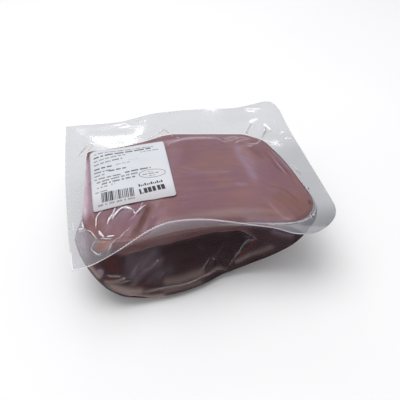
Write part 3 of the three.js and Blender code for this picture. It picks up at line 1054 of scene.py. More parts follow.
MEAT_STROKES = strokes_of(
    Tint.LILAC,
    Face.TOP,
    (4.0, 0.6, ((53, 22), (50.5, 2), (53, -15), (54, -31), (54.5, -42))),
    (3.0, 0.35, ((57, 10), (58, -8), (59, -22))),
    (2.6, 0.4, ((35, -38), (39, -41.5), (46, -43))),
    (1.2, 0.4, ((-12, -1.5), (-1, -7.5), (11.5, -17), (25.5, -18.5), (38, -19.5))),
    (1.2, 0.4, ((-11, -10), (-0.5, -15.5), (13, -17))),
    (1.2, 0.6, ((8, -16), (17, -18))),
    (1.2, 0.55, ((26, -18.5), (34, -19.5))),
    (3.4, 0.4, ((-18.5, 37), (-7.5, 43), (3.5, 47), (19, 46), (34, 43), (48, 38), (60, 34), (74, 25))),
    (2.6, 0.75, ((86, 10.5), (90.5, -1.5), (92.5, -14), (94, -24.5))),
    (3.0, 0.5, ((50, 7.5), (53.5, -2), (58.5, -4.5))),
    (1.6, 0.7, BACK_FOLD),
    (1.4, 0.7, ((80.5, 31), (74.5, 22), (68.5, 19), (62.5, 20.5))),
    (3.6, 0.75, ((-95, 42), (-98, 10), (-102, -22), (-105, -44))),
    (5.0, 0.3, ((-74, -56), (-66, -50), (-58, -50))),
    (3.0, 0.3, ((-88, -52), (-86, -64))),
    (5.0, 0.3, ((-40, -50), (-37, -58), (-44, -66))),
    (9.0, 0.22, ((-4, 30), (-14, 14), (-20, -6), (-24, -26))),
) + strokes_of(
    Tint.PALE,
    Face.TOP,
    (1.1, 0.4, ((-18.5, 34.5), (-7.5, 39.5), (3.5, 43.5), (19, 42), (34, 38), (39, 31))),
    (1.1, 0.4, ((39, 31), (48, 33), (57.5, 29), (66, 22), (75, 22.5))),
    (1.2, 0.5, ((40.5, 28), (47, 28.5), (54.5, 33), (62.5, 35), (67.5, 31))),
    (0.8, 0.5, ((77.5, 10.5), (82, -2.5), (84, -20), (87.5, -34))),
    (0.9, 0.35, FRONT_FAT),
    (0.9, 0.5, ((-90.5, 48.5), (-72.5, 50.5), (-52, 49.5), (-32, 45))),
) + strokes_of(
    Tint.BLOOD_AND_CREASE_SHADE,
    Face.TOP,
    (1.3, 0.45, ((62, 31), (67, 27.5), (72.5, 24.5))),
    (2.0, 0.3, ((54, 20), (59, 23.5), (64, 24))),
    (0.9, 0.5, ((74.5, 8.5), (78.5, -6.5), (80.5, -18.5), (84, -30))),
    # Painted shade along the flap's crease.
    (2.4, 0.55, ((-46, -50), (-49, -57.5), (-54.5, -68), (-60, -75.5), (-66, -81))),
    (1.3, 0.9, ((-95.5, -1), (-96.5, -6))),
    (1.4, 0.25, ((65, -48.5), (76.5, -57.5), (84.5, -75.5))),
    (1.6, 0.9, ((95.5, -71), (95, -75))),
    (4.5, 0.3, ((64, 16), (68, 4), (70, -8))),
    (1.0, 0.45, ((78, 15), (81, 0), (86, -18), (91, -37))),
    (1.6, 0.7, ((-96, 46), (-94, 44))),
) + strokes_of(
    Tint.BROWN,
    Face.TOP,
    (1.2, 0.6, ((88.5, 5.5), (92, -7), (92, -22))),
    (7.0, 0.4, ((-34, -66), (-13, -70), (13, -74), (38, -80), (60, -84))),
    (10.0, 0.45, ((64, -60), (78, -74), (88, -84))),
    (12.0, 0.3, ((-3, 24), (6, 22))),
    (3.6, 0.5, ((-93, -50), (-92, -62), (-94, -72))),
    (5.0, 0.3, ((-90, -72), (-80, -78), (-70, -80))),
    # Painted shade: brown laid along the flap's shadowed crease.
    (3.4, 0.8, ((-45, -47.5), (-49, -57.5), (-54.5, -68), (-60, -75.5), (-67, -82.5))),
    (2.2, 0.5, ((95, -68), (93, -80), (87, -87), (76, -91))),
    (2.2, 0.5, ((-94.5, 51.5), (-93, 48))),
) + strokes_of(
    Tint.BROWN,
    Face.FRONT,
    (3.2, 0.7, ((-63, -1), (-50, 0.5), (-33, 1), (-7, -2), (15, -5.5), (37, -7.5))),
    (6.0, 0.4, ((-80, -4), (-60, -4), (-30, -5), (0, -6), (20, -5))),
    (5.0, 0.5, ((42, -28), (53, -26), (65, -26), (78, -22))),
    (3.5, 0.6, ((28, -48), (42, -43), (55, -36))),
) + strokes_of(
    Tint.PALE,
    Face.FRONT,
    (1.0, 0.2, ((-73, -9.5), (-64, -10), (-51.5, -10), (-38, -11), (-25, -13), (-1.5, -14.5))),
    (1.2, 0.26, ((-1.5, -14.5), (13, -13.5), (29, -14.5), (37.5, -16))),
    (1.8, 0.36, ((-78, -49.5), (-56.5, -47.5), (-43, -48.5), (-30, -49.5), (-6, -48), (17, -51))),
    (4.0, 0.6, ((-89.5, -37.5), (-81.5, -41), (-72, -45.5), (-61, -47.5))),
    (2.8, 0.85, ((-106, -24), (-103.5, -26), (-100, -29.5), (-96.5, -32.5))),
    (3.4, 0.6, ((-92.5, -34.5), (-86, -40), (-78, -46), (-70, -50.5), (-61.5, -52.5))),
    (1.6, 0.6, ((-84, -32.5), (-80, -32), (-75.5, -31))),
    (3.4, 0.85, ((-78, -49), (-66, -53.5), (-54, -56.5), (-42, -56.5))),
    (3.0, 0.26, ((-48, -52), (-25.5, -52.5), (-6, -54))),
    (4.4, 0.3, ((-46, -41), (-30, -43), (-16, -43), (-4, -44))),
    (2.6, 0.34, ((23, -45), (29, -43), (36, -39))),
    (2.2, 0.6, ((-95, -35.5), (-87, -34), (-80, -32.5))),
    (0.8, 0.4, ((-91.5, -28), (-85, -28), (-78.5, -28.5))),
    (3.4, 0.22, ((32.5, -41), (41.5, -37), (50, -32.5), (58.5, -27.5))),
) + strokes_of(
    Tint.BLOOD_AND_CREASE_SHADE,
    Face.FRONT,
    (0.9, 0.4, ((-82, -6), (-76, -3), (-67, -3), (-60, -6), (-54.5, -6.5), (-51, -4.5))),
    (2.0, 0.3, ((-74, -38), (-62, -40), (-50, -41))),
    (1.3, 0.7, ((-95.5, -31.5), (-88.5, -31), (-80.5, -31))),
    (6.0, 0.52, ((-90, -12), (-88, -15), (-85.5, -20.5), (-84.5, -26))),
    # Painted shadow beside the lower groove on the front wall.
    (2.2, 0.5, ((44, -18.5), (37, -30), (28, -40.5))),
    (1.2, 0.3, ((47.5, -15.5), (58.5, -20.5), (67, -21.5))),
) + strokes_of(
    Tint.LILAC,
    Face.FRONT,
    (9.0, 0.14, ((-78, -20), (-66, -24), (-54, -24), (-40, -26))),
    (3.4, 0.7, ((-97.5, -24.5), (-95.5, -27), (-94, -28))),
    (3.4, 0.3, ((54, -10.5), (66.5, -14.5), (76, -16))),
)


@dataclass
class Breast:
    """The meat itself."""

    skin: Skin
    finish: MeatFinish = field(default_factory=MeatFinish)
    film_gap: float = 0.4
    least_gap: float = 0.36
    seal_gap: float = 0.5
    seal_gap_width: float = 3.2
    foot_gap: float = 0.35
    ledge: Ledge = field(default_factory=Ledge)
    ledge_shade: Pair = (-2.0, 4.0)
    side_shade: Pair = (3.0, 24.0)
    end_shade: Pair = (2.0, 12.0)
    slab_shade: float = 0.5
    slab_fade: Pair = (0.0, 5.0)
    left_reach: Pair = (90.0, 102.0)
    left_heights: Pair = (-30.0, -12.0)
    left_lightness: Pair = (0.85, 0.6)
    fibre_slope: float = 0.13
    fibre_turn: float = 40.0
    fibre_bend: float = 38.0
    fibre_squeeze: Pair = (0.9, 0.2)
    wall_squeeze: Pair = (1.1, 0.3)
    flap_fibre_turn: float = 62.0
    flap_back: float = -36.0
    lump_height: float = 0.35
    strand_height: float = 0.16
    smooth_seam: float = 14.0
    flap_path: Line = ((-47, -38), (-46, -50), (-52, -62), (-60, -73), (-66, -80), (-70, -92))
    relief: tuple[Relief, ...] = MEAT_RELIEF
    strokes: tuple[Stroke, ...] = MEAT_STROKES

    def shade(self) -> np.ndarray:
        """Painted shade: how far the meat is painted darker, from 0 above to 1 on the underside."""
        places = self.skin.places(Face.FRONT)
        ahead = self.skin.belongs(Face.FRONT)
        under_ledge = ease(self.ledge.below(places), *self.ledge_shade)
        left = ease(-places[:, 0], *self.left_reach) * ease(places[:, 1], *self.left_heights)
        aside = ease(-places[:, 1], *self.side_shade) * (1 - self.left_lightness[0] * left)
        past_ledge = 1 - self.ledge.spans(places)
        slab = self.slab_shade * ease(-places[:, 1], *self.slab_fade)
        front = np.maximum(under_ledge, slab) * (1 - past_ledge)
        front += ease(-places[:, 1], *self.end_shade) * past_ledge
        total = (ahead * front + (1 - ahead) * aside) * (1 - self.left_lightness[1] * left)
        return np.where(self.skin.on_top, 0.0, total)

    def fibres(self) -> np.ndarray:
        """Coordinates with the fibres along the first axis. They turn to the front at the right."""
        flat = self.skin.points[:, :2]
        x, y, z = self.skin.points.T
        across, deep = self.fibre_squeeze
        drop = self.fibre_slope * x + np.maximum(x - self.fibre_turn, 0) ** 2 / self.fibre_bend
        fan = np.column_stack([x, (y + drop) * across, z * deep])
        _, _, side = near_path(flat, np.array(self.flap_path))
        slant = math.radians(self.flap_fibre_turn)
        flap_along = x * math.cos(slant) + y * math.sin(slant)
        flap_across = y * math.cos(slant) - x * math.sin(slant)
        flap = np.column_stack([flap_along, flap_across, z * deep])
        in_flap = self.skin.on_top & (side < 0) & (y < self.flap_back)
        wall = np.column_stack([x, z * self.wall_squeeze[0], y * self.wall_squeeze[1]])
        mixed = np.where(in_flap[:, None], flap, fan)
        return np.where(self.skin.on_top[:, None], mixed, wall)

    def fine_relief(self) -> np.ndarray:
        """Lumps and fibre ridges, as of moist muscle."""
        fibres = self.fibres()
        lumps = Ripples(SEED, (26.0, 60.0)).at(self.skin.points[:, :2] + self.skin.points[:, 2:] * 0.6)
        strands = Ripples(SEED + 1, (3.2, 8.0), (14.0, 1.0), 40).at(fibres[:, :2])
        inward = ease(self.skin.from_seal, 0, self.smooth_seam)
        return (self.lump_height * lumps + self.strand_height * strands) * inward

    def build(self, effects: SharedEffects) -> Piece:
        """Builds the meat and lays its masks."""
        skin = self.skin
        gap = self.film_gap + self.seal_gap * bell(skin.from_seal, self.seal_gap_width)
        height = skin.relief(self.relief) + self.fine_relief() - gap
        height -= self.ledge.step_at(skin.places(Face.FRONT)) * skin.belongs(Face.FRONT)
        height = np.minimum(height, -self.least_gap)
        points = skin.points + skin.normals * height[:, None]
        points[:, 2] = np.maximum(points[:, 2], self.foot_gap)
        piece = make_piece("breast_meat", points, skin.faces(), self.finish.material(effects))
        carry(piece, "shade", self.shade())
        carry(piece, "fibre", self.fibres())
        for tint in (Tint.LILAC, Tint.PALE, Tint.BROWN, Tint.BLOOD_AND_CREASE_SHADE):
            carry(piece, tint.value, painted(self.strokes, tint, skin))
        return seat(piece, "meat", "breast")


# Folds of the flap, each with a painted highlight along its crease.
FLAP_FOLDS = folds_of(
    Face.TOP,
    (1.2, 1.1, 0.9, 0.5, ((-85, -42), (-92, -49), (-93.5, -55), (-94.5, -65))),
    (1.5, 1.6, 1.0, 0.8, ((-75, -43.5), (-78, -51), (-81.5, -55.5), (-84.5, -61.5))),
    (1.5, 1.5, 1.0, 1.1, ((-80, -57.5), (-76, -52.5), (-72.5, -49), (-68, -47.5), (-64, -49.5),
      (-60, -53))),
    (1.1, 1.2, 1.0, 0.6, ((-60.5, -52.5), (-59, -58), (-53.5, -53.5), (-48.5, -49.5))),
    (0.9, 0.6, 0.5, 0.4, ((-57, -57.5), (-53, -50), (-50.5, -45))),
    (1.7, 1.6, 1.0, 1.3, ((-92, -66.5), (-91, -71), (-89.5, -75), (-87.5, -77.5))),
    (1.2, 1.2, 1.0, 0.75, ((-86.5, -77), (-83, -76.5), (-79, -76))),
    (0.9, 0.7, 0.6, 0.5, ((-92, -77), (-88.5, -78.5), (-85, -79.5), (-81, -80))),
    (1.0, 0.5, 0.3, 0.4, ((-49, -50.5), (-58, -58.5), (-66.5, -63.5))),
    (0.9, 0.6, 0.35, 0.5, ((-82.5, -41), (-74.5, -43.5), (-67, -45.5), (-59, -49))),
    (0.8, 0.4, 0.4, 0.4, ((-46, -66.5), (-42.5, -61.5))),
    (0.8, 0.4, 0.3, 0.4, ((-40.5, -61), (-37.5, -57.5))),
)
# Folds at the back: most carry a faint painted highlight along the crease, one a line of juice.
BACK_FOLDS = folds_of(
    Face.TOP,
    (1.4, 0.6, 0.22, 1.0, ((-18.5, 35), (-7.5, 40), (3.5, 43.5), (19, 42), (34, 38.5))),
    (1.2, 0.6, 0.22, 0.8, ((33, 42), (36, 37), (40.5, 28), (47, 28.5))),
    (1.0, 0.7, 0.3, 0.6, ((40.5, 28), (47, 28.5), (54.5, 33), (62.5, 35), (67.5, 31), (71.5, 26.5))),
    (1.2, 0.8, 0.32, 0.8, BACK_FOLD),
    (1.0, 0.8, 0.42, 0.6, ((82.5, 34), (80.5, 31), (74.5, 22), (68.5, 19), (62.5, 20.5))),
    (0.9, 0.5, 0.4, 0.7, ((61, 17), (64.5, 15.5), (67.5, 16))),
    (0.8, 0.6, 0.5, 0.6, ((68, 44), (71, 40.5), (75, 36), (79.5, 33)), Cast.JUICE),
    (0.9, 0.6, 0.6, 0.5, ((-9, 56), (-7, 53))),
    (0.9, 0.6, 0.7, 0.6, ((-4, 49), (-2.5, 46.5))),
    (0.8, 0.5, 0.2, 0.5, ((77.5, 10.5), (82, -2.5), (84, -20), (88, -36))),
)
# Folds on the front wall, with faint painted highlights along their creases.
WALL_FOLDS = folds_of(
    Face.FRONT,
    (1.8, 0.3, 0.09, 1.0, ((24, -14.5), (31, -15), (38, -16.5), (42.5, -20), (35.5, -24.5), (30.5, -29.5),
      (24.5, -37.5), (20, -44), (17, -49.7))),
    (1.2, 0.2, 0.07, 0.6, ((30, -17.5), (37.5, -21.5), (33, -26), (28.5, -32), (23, -39.5))),
    (1.0, 0.4, 0.08, 0.7, ((-73, -9.5), (-64, -10), (-51.5, -10), (-38, -11), (-25, -13))),
    (1.1, 0.15, 0.07, 0.7, ((-46.5, -23), (-52, -26.5), (-57.5, -28))),
    (1.1, 0.15, 0.06, 0.6, ((-61.5, -19), (-68, -26.5), (-74, -32.5))),
    (1.1, 0.15, 0.06, 0.6, ((-41.5, -31), (-46.5, -36.5), (-52.5, -43))),
    (0.8, 0.4, 0.9, 0.5, ((-47, -22.5), (-46, -23.5))),
    (1.3, 0.6, 0.16, 0.8, ((17, -52), (4, -49.5), (-8, -46.5), (-16, -48), (-26, -48), (-39, -46.5),
      (-50, -46.5), (-60, -49.5), (-66, -51))),
    (0.9, 0.6, 0.12, 0.6, ((2, -32.5), (5, -36), (8, -36.5))),
    (0.9, 0.6, 0.12, 0.6, ((1.5, -30.5), (-4, -35), (-7.5, -38.5), (-10.5, -41))),
    (1.0, 0.6, 0.2, 0.6, ((-91.5, -28), (-85, -28), (-78.5, -28.5))),
    (0.9, 0.4, 0.9, 0.6, ((-77.5, -30.5), (-76, -30.5))),
    (1.0, 0.6, 0.14, 0.6, ((-82, -35), (-76, -33.5), (-71, -33.5))),
)


FILM_VEILS = strokes_of(
    Tint.VEIL,
    Face.TOP,
    (4.0, 0.7, ((-99.5, 42), (-100, 30), (-100.5, 15.5), (-101.5, -9), (-102.5, -31), (-104.5, -52))),
    (3.2, 0.26, ((-96, 38), (-96, 15), (-97, -9), (-97.5, -31), (-99, -48))),
    (2.2, 0.16, ((30, -82.5), (46, -86), (61, -89.5), (76, -91))),
    (3.0, 0.24, ((-22, 42), (-7.5, 42.5), (8, 44), (24, 41.5), (36, 38))),
    (2.6, 0.22, ((42, 34), (50, 37), (58, 38))),
    (1.8, 0.2, ((-44, 45), (-30, 41), (-22, 38))),
) + strokes_of(
    Tint.VEIL,
    Face.FRONT,
    (3.4, 0.07, ((-43, -14), (-52.5, -18), (-62, -23), (-74, -33))),
    (2.6, 0.07, ((-40, -22), (-52, -25), (-63, -31), (-73, -40.5))),
    (3.0, 0.04, ((-32, -30), (-46, -33), (-59, -38.5))),
    (6.0, 0.05, ((-73.5, -13.5), (-61.5, -17.5), (-48, -16))),
    (3.2, 0.1, ((-97.5, -24.5), (-95, -27.5))),
    (3.4, 0.1, ((-106, -33), (-98, -38), (-84, -44), (-68, -49))),
)


@dataclass
class ClingFilm:
    """The two films where they cling to the meat, with their folds."""

    skin: Skin
    ledge: Ledge
    finish: FilmFinish = FilmFinish(
        "cling_film", clearness=0.99, cloud=0.025, veiled=linear(234, 210, 226), roughness=(0.26, 0.29),
        gain=0.16, wall_gain=0.09,
    )
    folds: tuple[Fold, ...] = FLAP_FOLDS + BACK_FOLDS + WALL_FOLDS
    gap: float = 0.25
    ledge_share: float = 0.75
    label_middle: Pair = (-57.0, 0.0)
    label_half: Pair = (38.5, 45.0)
    under_label: float = 0.15
    crinkle_from: float = 0.35
    crinkle_span: float = 1.6
    veils: tuple[Stroke, ...] = FILM_VEILS
    left_veil: float = 0.46
    left_veil_reach: Pair = (99.0, 108.0)
    left_veil_heights: Pair = (34.0, 54.0)
    shrink_folds: int = 70
    shrink_x: Pair = (-95.0, 60.0)
    shrink_heights: Pair = (-56.0, -14.0)
    shrink_lengths: Pair = (4.0, 12.0)
    shrink_slope: float = 0.9
    shrink_bend: float = 1.4
    upright_share: float = 0.35
    mean_radius: float = 95.0
    shrink_widths: Pair = (0.7, 1.1)
    shrink_rises: Pair = (0.2, 0.5)
    upright_height: float = 0.3
    upright_below: float = 5.0
    upright_half: float = 7.0
    tangle_height: float = 0.16
    seam_fade: Pair = (0.0, 4.0)
    wall_fade: Pair = (0.0, 12.0)

    def shrink_lines(self) -> tuple[Relief, ...]:
        """Short seeded wrinkles where the drawn film has shrunk on the wall."""
        draw = np.random.default_rng(SEED + 3)
        lines = []
        for _ in range(self.shrink_folds):
            start = np.array((draw.uniform(*self.shrink_x), draw.uniform(*self.shrink_heights)))
            length = draw.uniform(*self.shrink_lengths)
            turn = draw.uniform(-self.shrink_slope, self.shrink_slope)
            if draw.random() < self.upright_share:
                turn += math.pi / 2
            ahead = np.array((math.cos(turn), math.sin(turn)))
            middle = start + length / 2 * ahead + draw.uniform(-self.shrink_bend, self.shrink_bend, 2)
            path = tuple((float(x), float(z)) for x, z in (start, middle, start + length * ahead))
            half_width = draw.uniform(*self.shrink_widths)
            lines.append(Relief(path, half_width, draw.uniform(*self.shrink_rises), face=Face.FRONT))
        return tuple(lines)

    def round_shrink(self) -> np.ndarray:
        """Soft wrinkles round the whole wall, upright near the seal line and tangled below."""
        points = self.skin.points
        around = bearing(points) * self.mean_radius
        below = SEAL_HEIGHT - points[:, 2]
        places = np.column_stack([around, below])
        upright = Ripples(SEED + 5, (4.5, 12.0), (1.0, 4.0), 36).at(places)
        tangle = Ripples(SEED + 6, (5.0, 14.0), (1.6, 1.0), 36).at(places)
        near = bell(below - self.upright_below, self.upright_half)
        crest = self.upright_height * np.maximum(upright, 0) ** 2 * near
        crest += self.tangle_height * np.maximum(tangle, 0) ** 2 * (1 - near)
        return np.where(self.skin.on_top, 0.0, crest * ease(self.skin.from_seal, *self.seam_fade))

    def build(self, effects: SharedEffects) -> Piece:
        """Builds the film."""
        skin = self.skin
        fold_height = skin.relief(self.folds) + skin.relief(self.shrink_lines())
        from_label = np.abs(skin.points[:, :2] - self.label_middle)
        fold_height[(from_label < self.label_half).all(axis=1) & skin.on_top] *= self.under_label
        height = fold_height + self.round_shrink() - self.gap
        height -= self.ledge_share * self.ledge.step_at(skin.places(Face.FRONT)) * skin.belongs(Face.FRONT)
        points = skin.points + skin.normals * height[:, None]
        points[:, 2] = np.maximum(points[:, 2], 0.0)
        piece = make_piece("cling_film", points, skin.faces(), self.finish.material(effects))
        carry(piece, "crinkle", np.clip((fold_height - self.crinkle_from) / self.crinkle_span, 0, 1) * 0.5)
        carry(piece, "wall", np.where(skin.on_top, 0.0, ease(skin.from_seal, *self.wall_fade)))
        carry(piece, Tint.VEIL.value, self.veil())
        return seat(piece, "film")

    def veil(self) -> np.ndarray:
        """How milky the film is: in the veils, and where it stands off the meat at the left."""
        points = self.skin.points
        reach = ease(-points[:, 0], *self.left_veil_reach)
        left = self.left_veil * reach * ease(points[:, 2], *self.left_veil_heights)
        return np.maximum(painted(self.veils, Tint.VEIL, self.skin), np.where(self.skin.on_top, 0, left))


class Edge(Enum):
    """How a stretch of the rim's outline is cut."""

    STRAIGHT = 0
    PINKED = 1


@dataclass(frozen=True)
class Curl:
    """Where one long edge of the rim rises or sinks, on both sides of a middle, and is drawn in."""

    side: int
    middle: float
    left: float
    right: float
    rise: float
    draw_in: float


@dataclass
class RimForm:
    """The welded rim's middle surface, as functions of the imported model's driving sizes."""

    seal: SealLine = field(default_factory=SealLine)
    length: float = 232.0
    width: float = 216.0
    front_radius: float = 32.0
    back_radius: float = 39.0
    curls: tuple[Curl, ...] = (
        Curl(-1, -30, 83, 130, 23, 13.8),
        Curl(-1, 76, 26, 32, -4.5, 0),
        Curl(1, -68, 55, 55, -2.5, 0.9),
        Curl(1, -10, 53, 53, 3.1, 1.1),
        Curl(1, 95, 65, 65, -6.5, 2.3),
    )
    curl_end_zone: float = 24.0
    corner_lift: tuple[float, float, float, float] = (108.0, 100.0, 28.0, 10.5)
    sharpness: float = 1.35
    pinked_spacing: float = 1.15
    straight_spacing: float = 1.6
    tooth_depth: float = 0.75

    def outline(self) -> tuple[np.ndarray, np.ndarray]:
        """Points round the flat cut edge, and how far the cut's teeth take each one in."""
        half_length = self.length / 2
        half_width = self.width / 2
        front_x, front_y = half_length - self.front_radius, self.front_radius - half_width
        back_x, back_y = half_length - self.back_radius, half_width - self.back_radius
        turns = np.linspace(0, math.pi / 2, 40)
        quarter = np.stack([np.sin(turns), np.cos(turns)], axis=1)
        front_arc = quarter * (self.front_radius, -self.front_radius) + (front_x, front_y)
        back_arc = quarter[::-1] * self.back_radius + (back_x, back_y)
        down = np.linspace(1, -1, 40)
        bowed = np.stack([-half_length - LEFT_EDGE_BOW * (1 - down**2), half_width * down], axis=1)
        stretches = (
            (np.array(((-half_length, -half_width), (front_x, -half_width))), Edge.PINKED),
            (front_arc, Edge.STRAIGHT),
            (np.array(((half_length, front_y), (half_length, back_y))), Edge.STRAIGHT),
            (back_arc, Edge.STRAIGHT),
            (np.array(((back_x, half_width), (-half_length, half_width))), Edge.PINKED),
            (bowed, Edge.STRAIGHT),
        )
        points = []
        teeth = []
        for path, edge in stretches:
            spacing = self.pinked_spacing if edge is Edge.PINKED else self.straight_spacing
            spread = evenly(path, spacing)[:-1]
            points.append(spread)
            teeth.append(np.where(np.arange(len(spread)) % 2 == 1, self.tooth_depth * edge.value, 0.0))
        return np.vstack(points), np.concatenate(teeth)

    def curl(self, edge: np.ndarray) -> tuple[np.ndarray, np.ndarray]:
        """How far the free edge rises, and how far it is drawn in, at points of the flat outline."""
        lift_x, lift_y, reach, lift = self.corner_lift
        rise = lift * bell(np.hypot(edge[:, 0] - lift_x, edge[:, 1] - lift_y), reach)
        drawn = np.zeros(len(edge))
        half_width = self.width / 2
        for curl in self.curls:
            on_side = ease(curl.side * edge[:, 1], half_width - self.curl_end_zone, half_width)
            span = np.where(edge[:, 0] < curl.middle, curl.left, curl.right)
            off = np.minimum(1, np.abs(edge[:, 0] - curl.middle) / span)
            share = on_side * np.cos(math.pi / 2 * off) ** 2
            rise += curl.rise * share
            drawn += curl.draw_in * share
        return rise, drawn

    def point(self, edge: np.ndarray, teeth: np.ndarray, share: float, gap: float) -> np.ndarray:
        """Points of the rim at a share of the way from the seal line to the free edge."""
        rise, drawn = self.curl(edge)
        angle = bearing(edge)
        inner = HEART + pointing(angle) * (self.seal.reach(angle) + gap)[:, None]
        outer = edge.copy()
        # The teeth take up the last twelfth of the rim only.
        outer[:, 1] -= np.sign(edge[:, 1]) * (drawn + teeth * max(0.0, share * 12 - 11))
        plan = inner + (outer - inner) * share
        return np.column_stack([plan, SEAL_HEIGHT + rise * max(share, 0.0) ** self.sharpness])


# Folds of the rim: the white ones carry a painted highlight along their crease, the dark ones painted
# shadow.
RIM_FOLDS = folds_of(
    Face.TOP,
    (1.0, 0.9, 0.55, 0.5, ((-105.5, 46.5), (-99, 57.5), (-95.5, 63), (-92.5, 67)), Cast.JUICE),
    (0.9, 0.7, 0.4, 0.4, ((-92.5, 67), (-90.5, 61), (-97, 51.5)), Cast.JUICE),
    (0.9, 0.8, 0.5, 0.5, ((-107, 52), (-101, 61.5), (-93.5, 69))),
    (0.9, 0.6, 0.4, 0.4, ((-105.5, 46.5), (-101, 47), (-97, 50)), Cast.JUICE),
    (1.1, 0.9, 0.45, 0.5, ((-21.5, 65), (-16.5, 71.5), (-13.5, 75), (-10.5, 68.5), (-8, 62.5)), Cast.JUICE),
    (1.1, 0.5, 0.4, 0.6, ((-19, 66), (-15.5, 71), (-13, 72))),
    (1.2, 1.3, 0.5, 0.55, ((66.5, 43), (70, 48), (75, 56.5), (80, 62.5)), Cast.JUICE),
    (1.0, 0.9, 0.5, 0.7, ((71, 46.5), (76.5, 54), (81.5, 59.5), (86, 60))),
    (2.2, 1.2, 1.4, 3.0, ((77.5, 61.5), (81, 65.5), (84.5, 66.5), (87.5, 64.5))),
    (1.4, 0.6, 0.3, 0.9, ((87, 64.5), (86, 55), (82.5, 43.5))),
    (1.2, 1.2, 0.55, 0.55, ((82.5, 34.5), (86.5, 41), (91, 48), (92, 55.5)), Cast.JUICE),
    (2.2, 1.3, 1.4, 2.8, ((92, 59.5), (93, 55), (94.5, 51), (97, 46))),
    (0.9, 0.6, 0.4, 0.5, ((97, 46), (90.5, 44), (86.5, 40.5)), Cast.JUICE),
    (1.0, 0.4, 0.4, 0.6, ((104.5, 66), (105, 56.5))),
    (1.2, 0.4, 0.35, 0.9, ((102, 37), (106, 39.5), (111.5, 42.5))),
    (1.0, 0.4, 0.3, 0.7, ((98, 25), (105, 27))),
    (1.6, 0.6, 1.0, 1.5, ((108, 28), (113.5, 29))),
    (1.0, 0.5, 0.35, 0.5, ((97, -11), (100, -20), (100.5, -32))),
    # Painted highlight where the rim's back right would mirror a lamp.
    (4.0, 0.8, 0.95, 2.6, ((79.5, 98), (87.5, 89.5), (96.5, 81))),
    (0.7, 0.4, 0.5, 0.35, ((99, -23), (101.5, -33.5)), Cast.PAINTED_SHADOW_LINE),
    (0.9, 0.7, 0.8, 0.55, ((101, -51.5), (100.5, -56.5)), Cast.PAINTED_SHADOW_LINE),
    (1.0, 0.8, 0.8, 0.6, ((91.5, -85.5), (91, -89.5), (91, -94)), Cast.PAINTED_SHADOW_LINE),
    (0.9, 0.7, 0.9, 0.7, ((92.5, -88), (92.5, -90.5))),
    (1.2, 0.5, 0.34, 0.8, ((100.5, -71.5), (96.5, -83), (89.5, -91), (78, -94.5), (62, -93), (46.5, -89.5),
      (32, -85.5), (19.5, -82.5))),
    (1.0, 0.5, 0.3, 0.4, ((-54.5, 54.5), (-41.5, 57), (-34, 61), (-24.5, 66), (-16, 73),
      (-11.5, 76)), Cast.PAINTED_SHADOW_LINE),
    (1.3, 1.0, 1.0, 0.9, ((-109.5, -61.5), (-104.5, -61.5))),
    (1.2, 0.9, 0.9, 0.7, ((-105.5, -52), (-104.5, -61.5))),
    (1.0, 1.0, 0.8, 0.5, ((-104.5, -61.5), (-101, -64.5), (-98, -68), (-94, -77.5))),
    (1.2, 0.4, 0.5, 0.8, ((-113.5, -50.5), (-113, -62))),
    (0.9, 0.8, 0.6, 0.6, ((-98, -84), (-99.5, -87.5), (-97.5, -91.5), (-94.5, -95), (-90.5, -97.5))),
    (0.8, 0.7, 0.4, 0.5, ((-94, -78.5), (-97, -80.5), (-98.5, -85))),
    (0.8, 0.7, 0.5, 0.5, ((-87, -96.5), (-85, -89.5), (-83, -86), (-79.5, -82)), Cast.JUICE),
    (0.9, 0.8, 0.5, 0.6, ((-87, -96.5), (-83.5, -87.5), (-79.5, -82), (-76, -80), (-71.5, -75.5),
      (-67, -73), (-64, -69.5))),
    (1.0, 0.15, 0.14, 0.5, ((-71.5, 102.5), (-52.5, 102.5), (-30.5, 100)), Cast.PAINTED_SHADOW_LINE),
    (1.0, 0.15, 0.14, 0.5, ((-64.5, 94), (-48, 96), (-26, 94.5)), Cast.PAINTED_SHADOW_LINE),
)


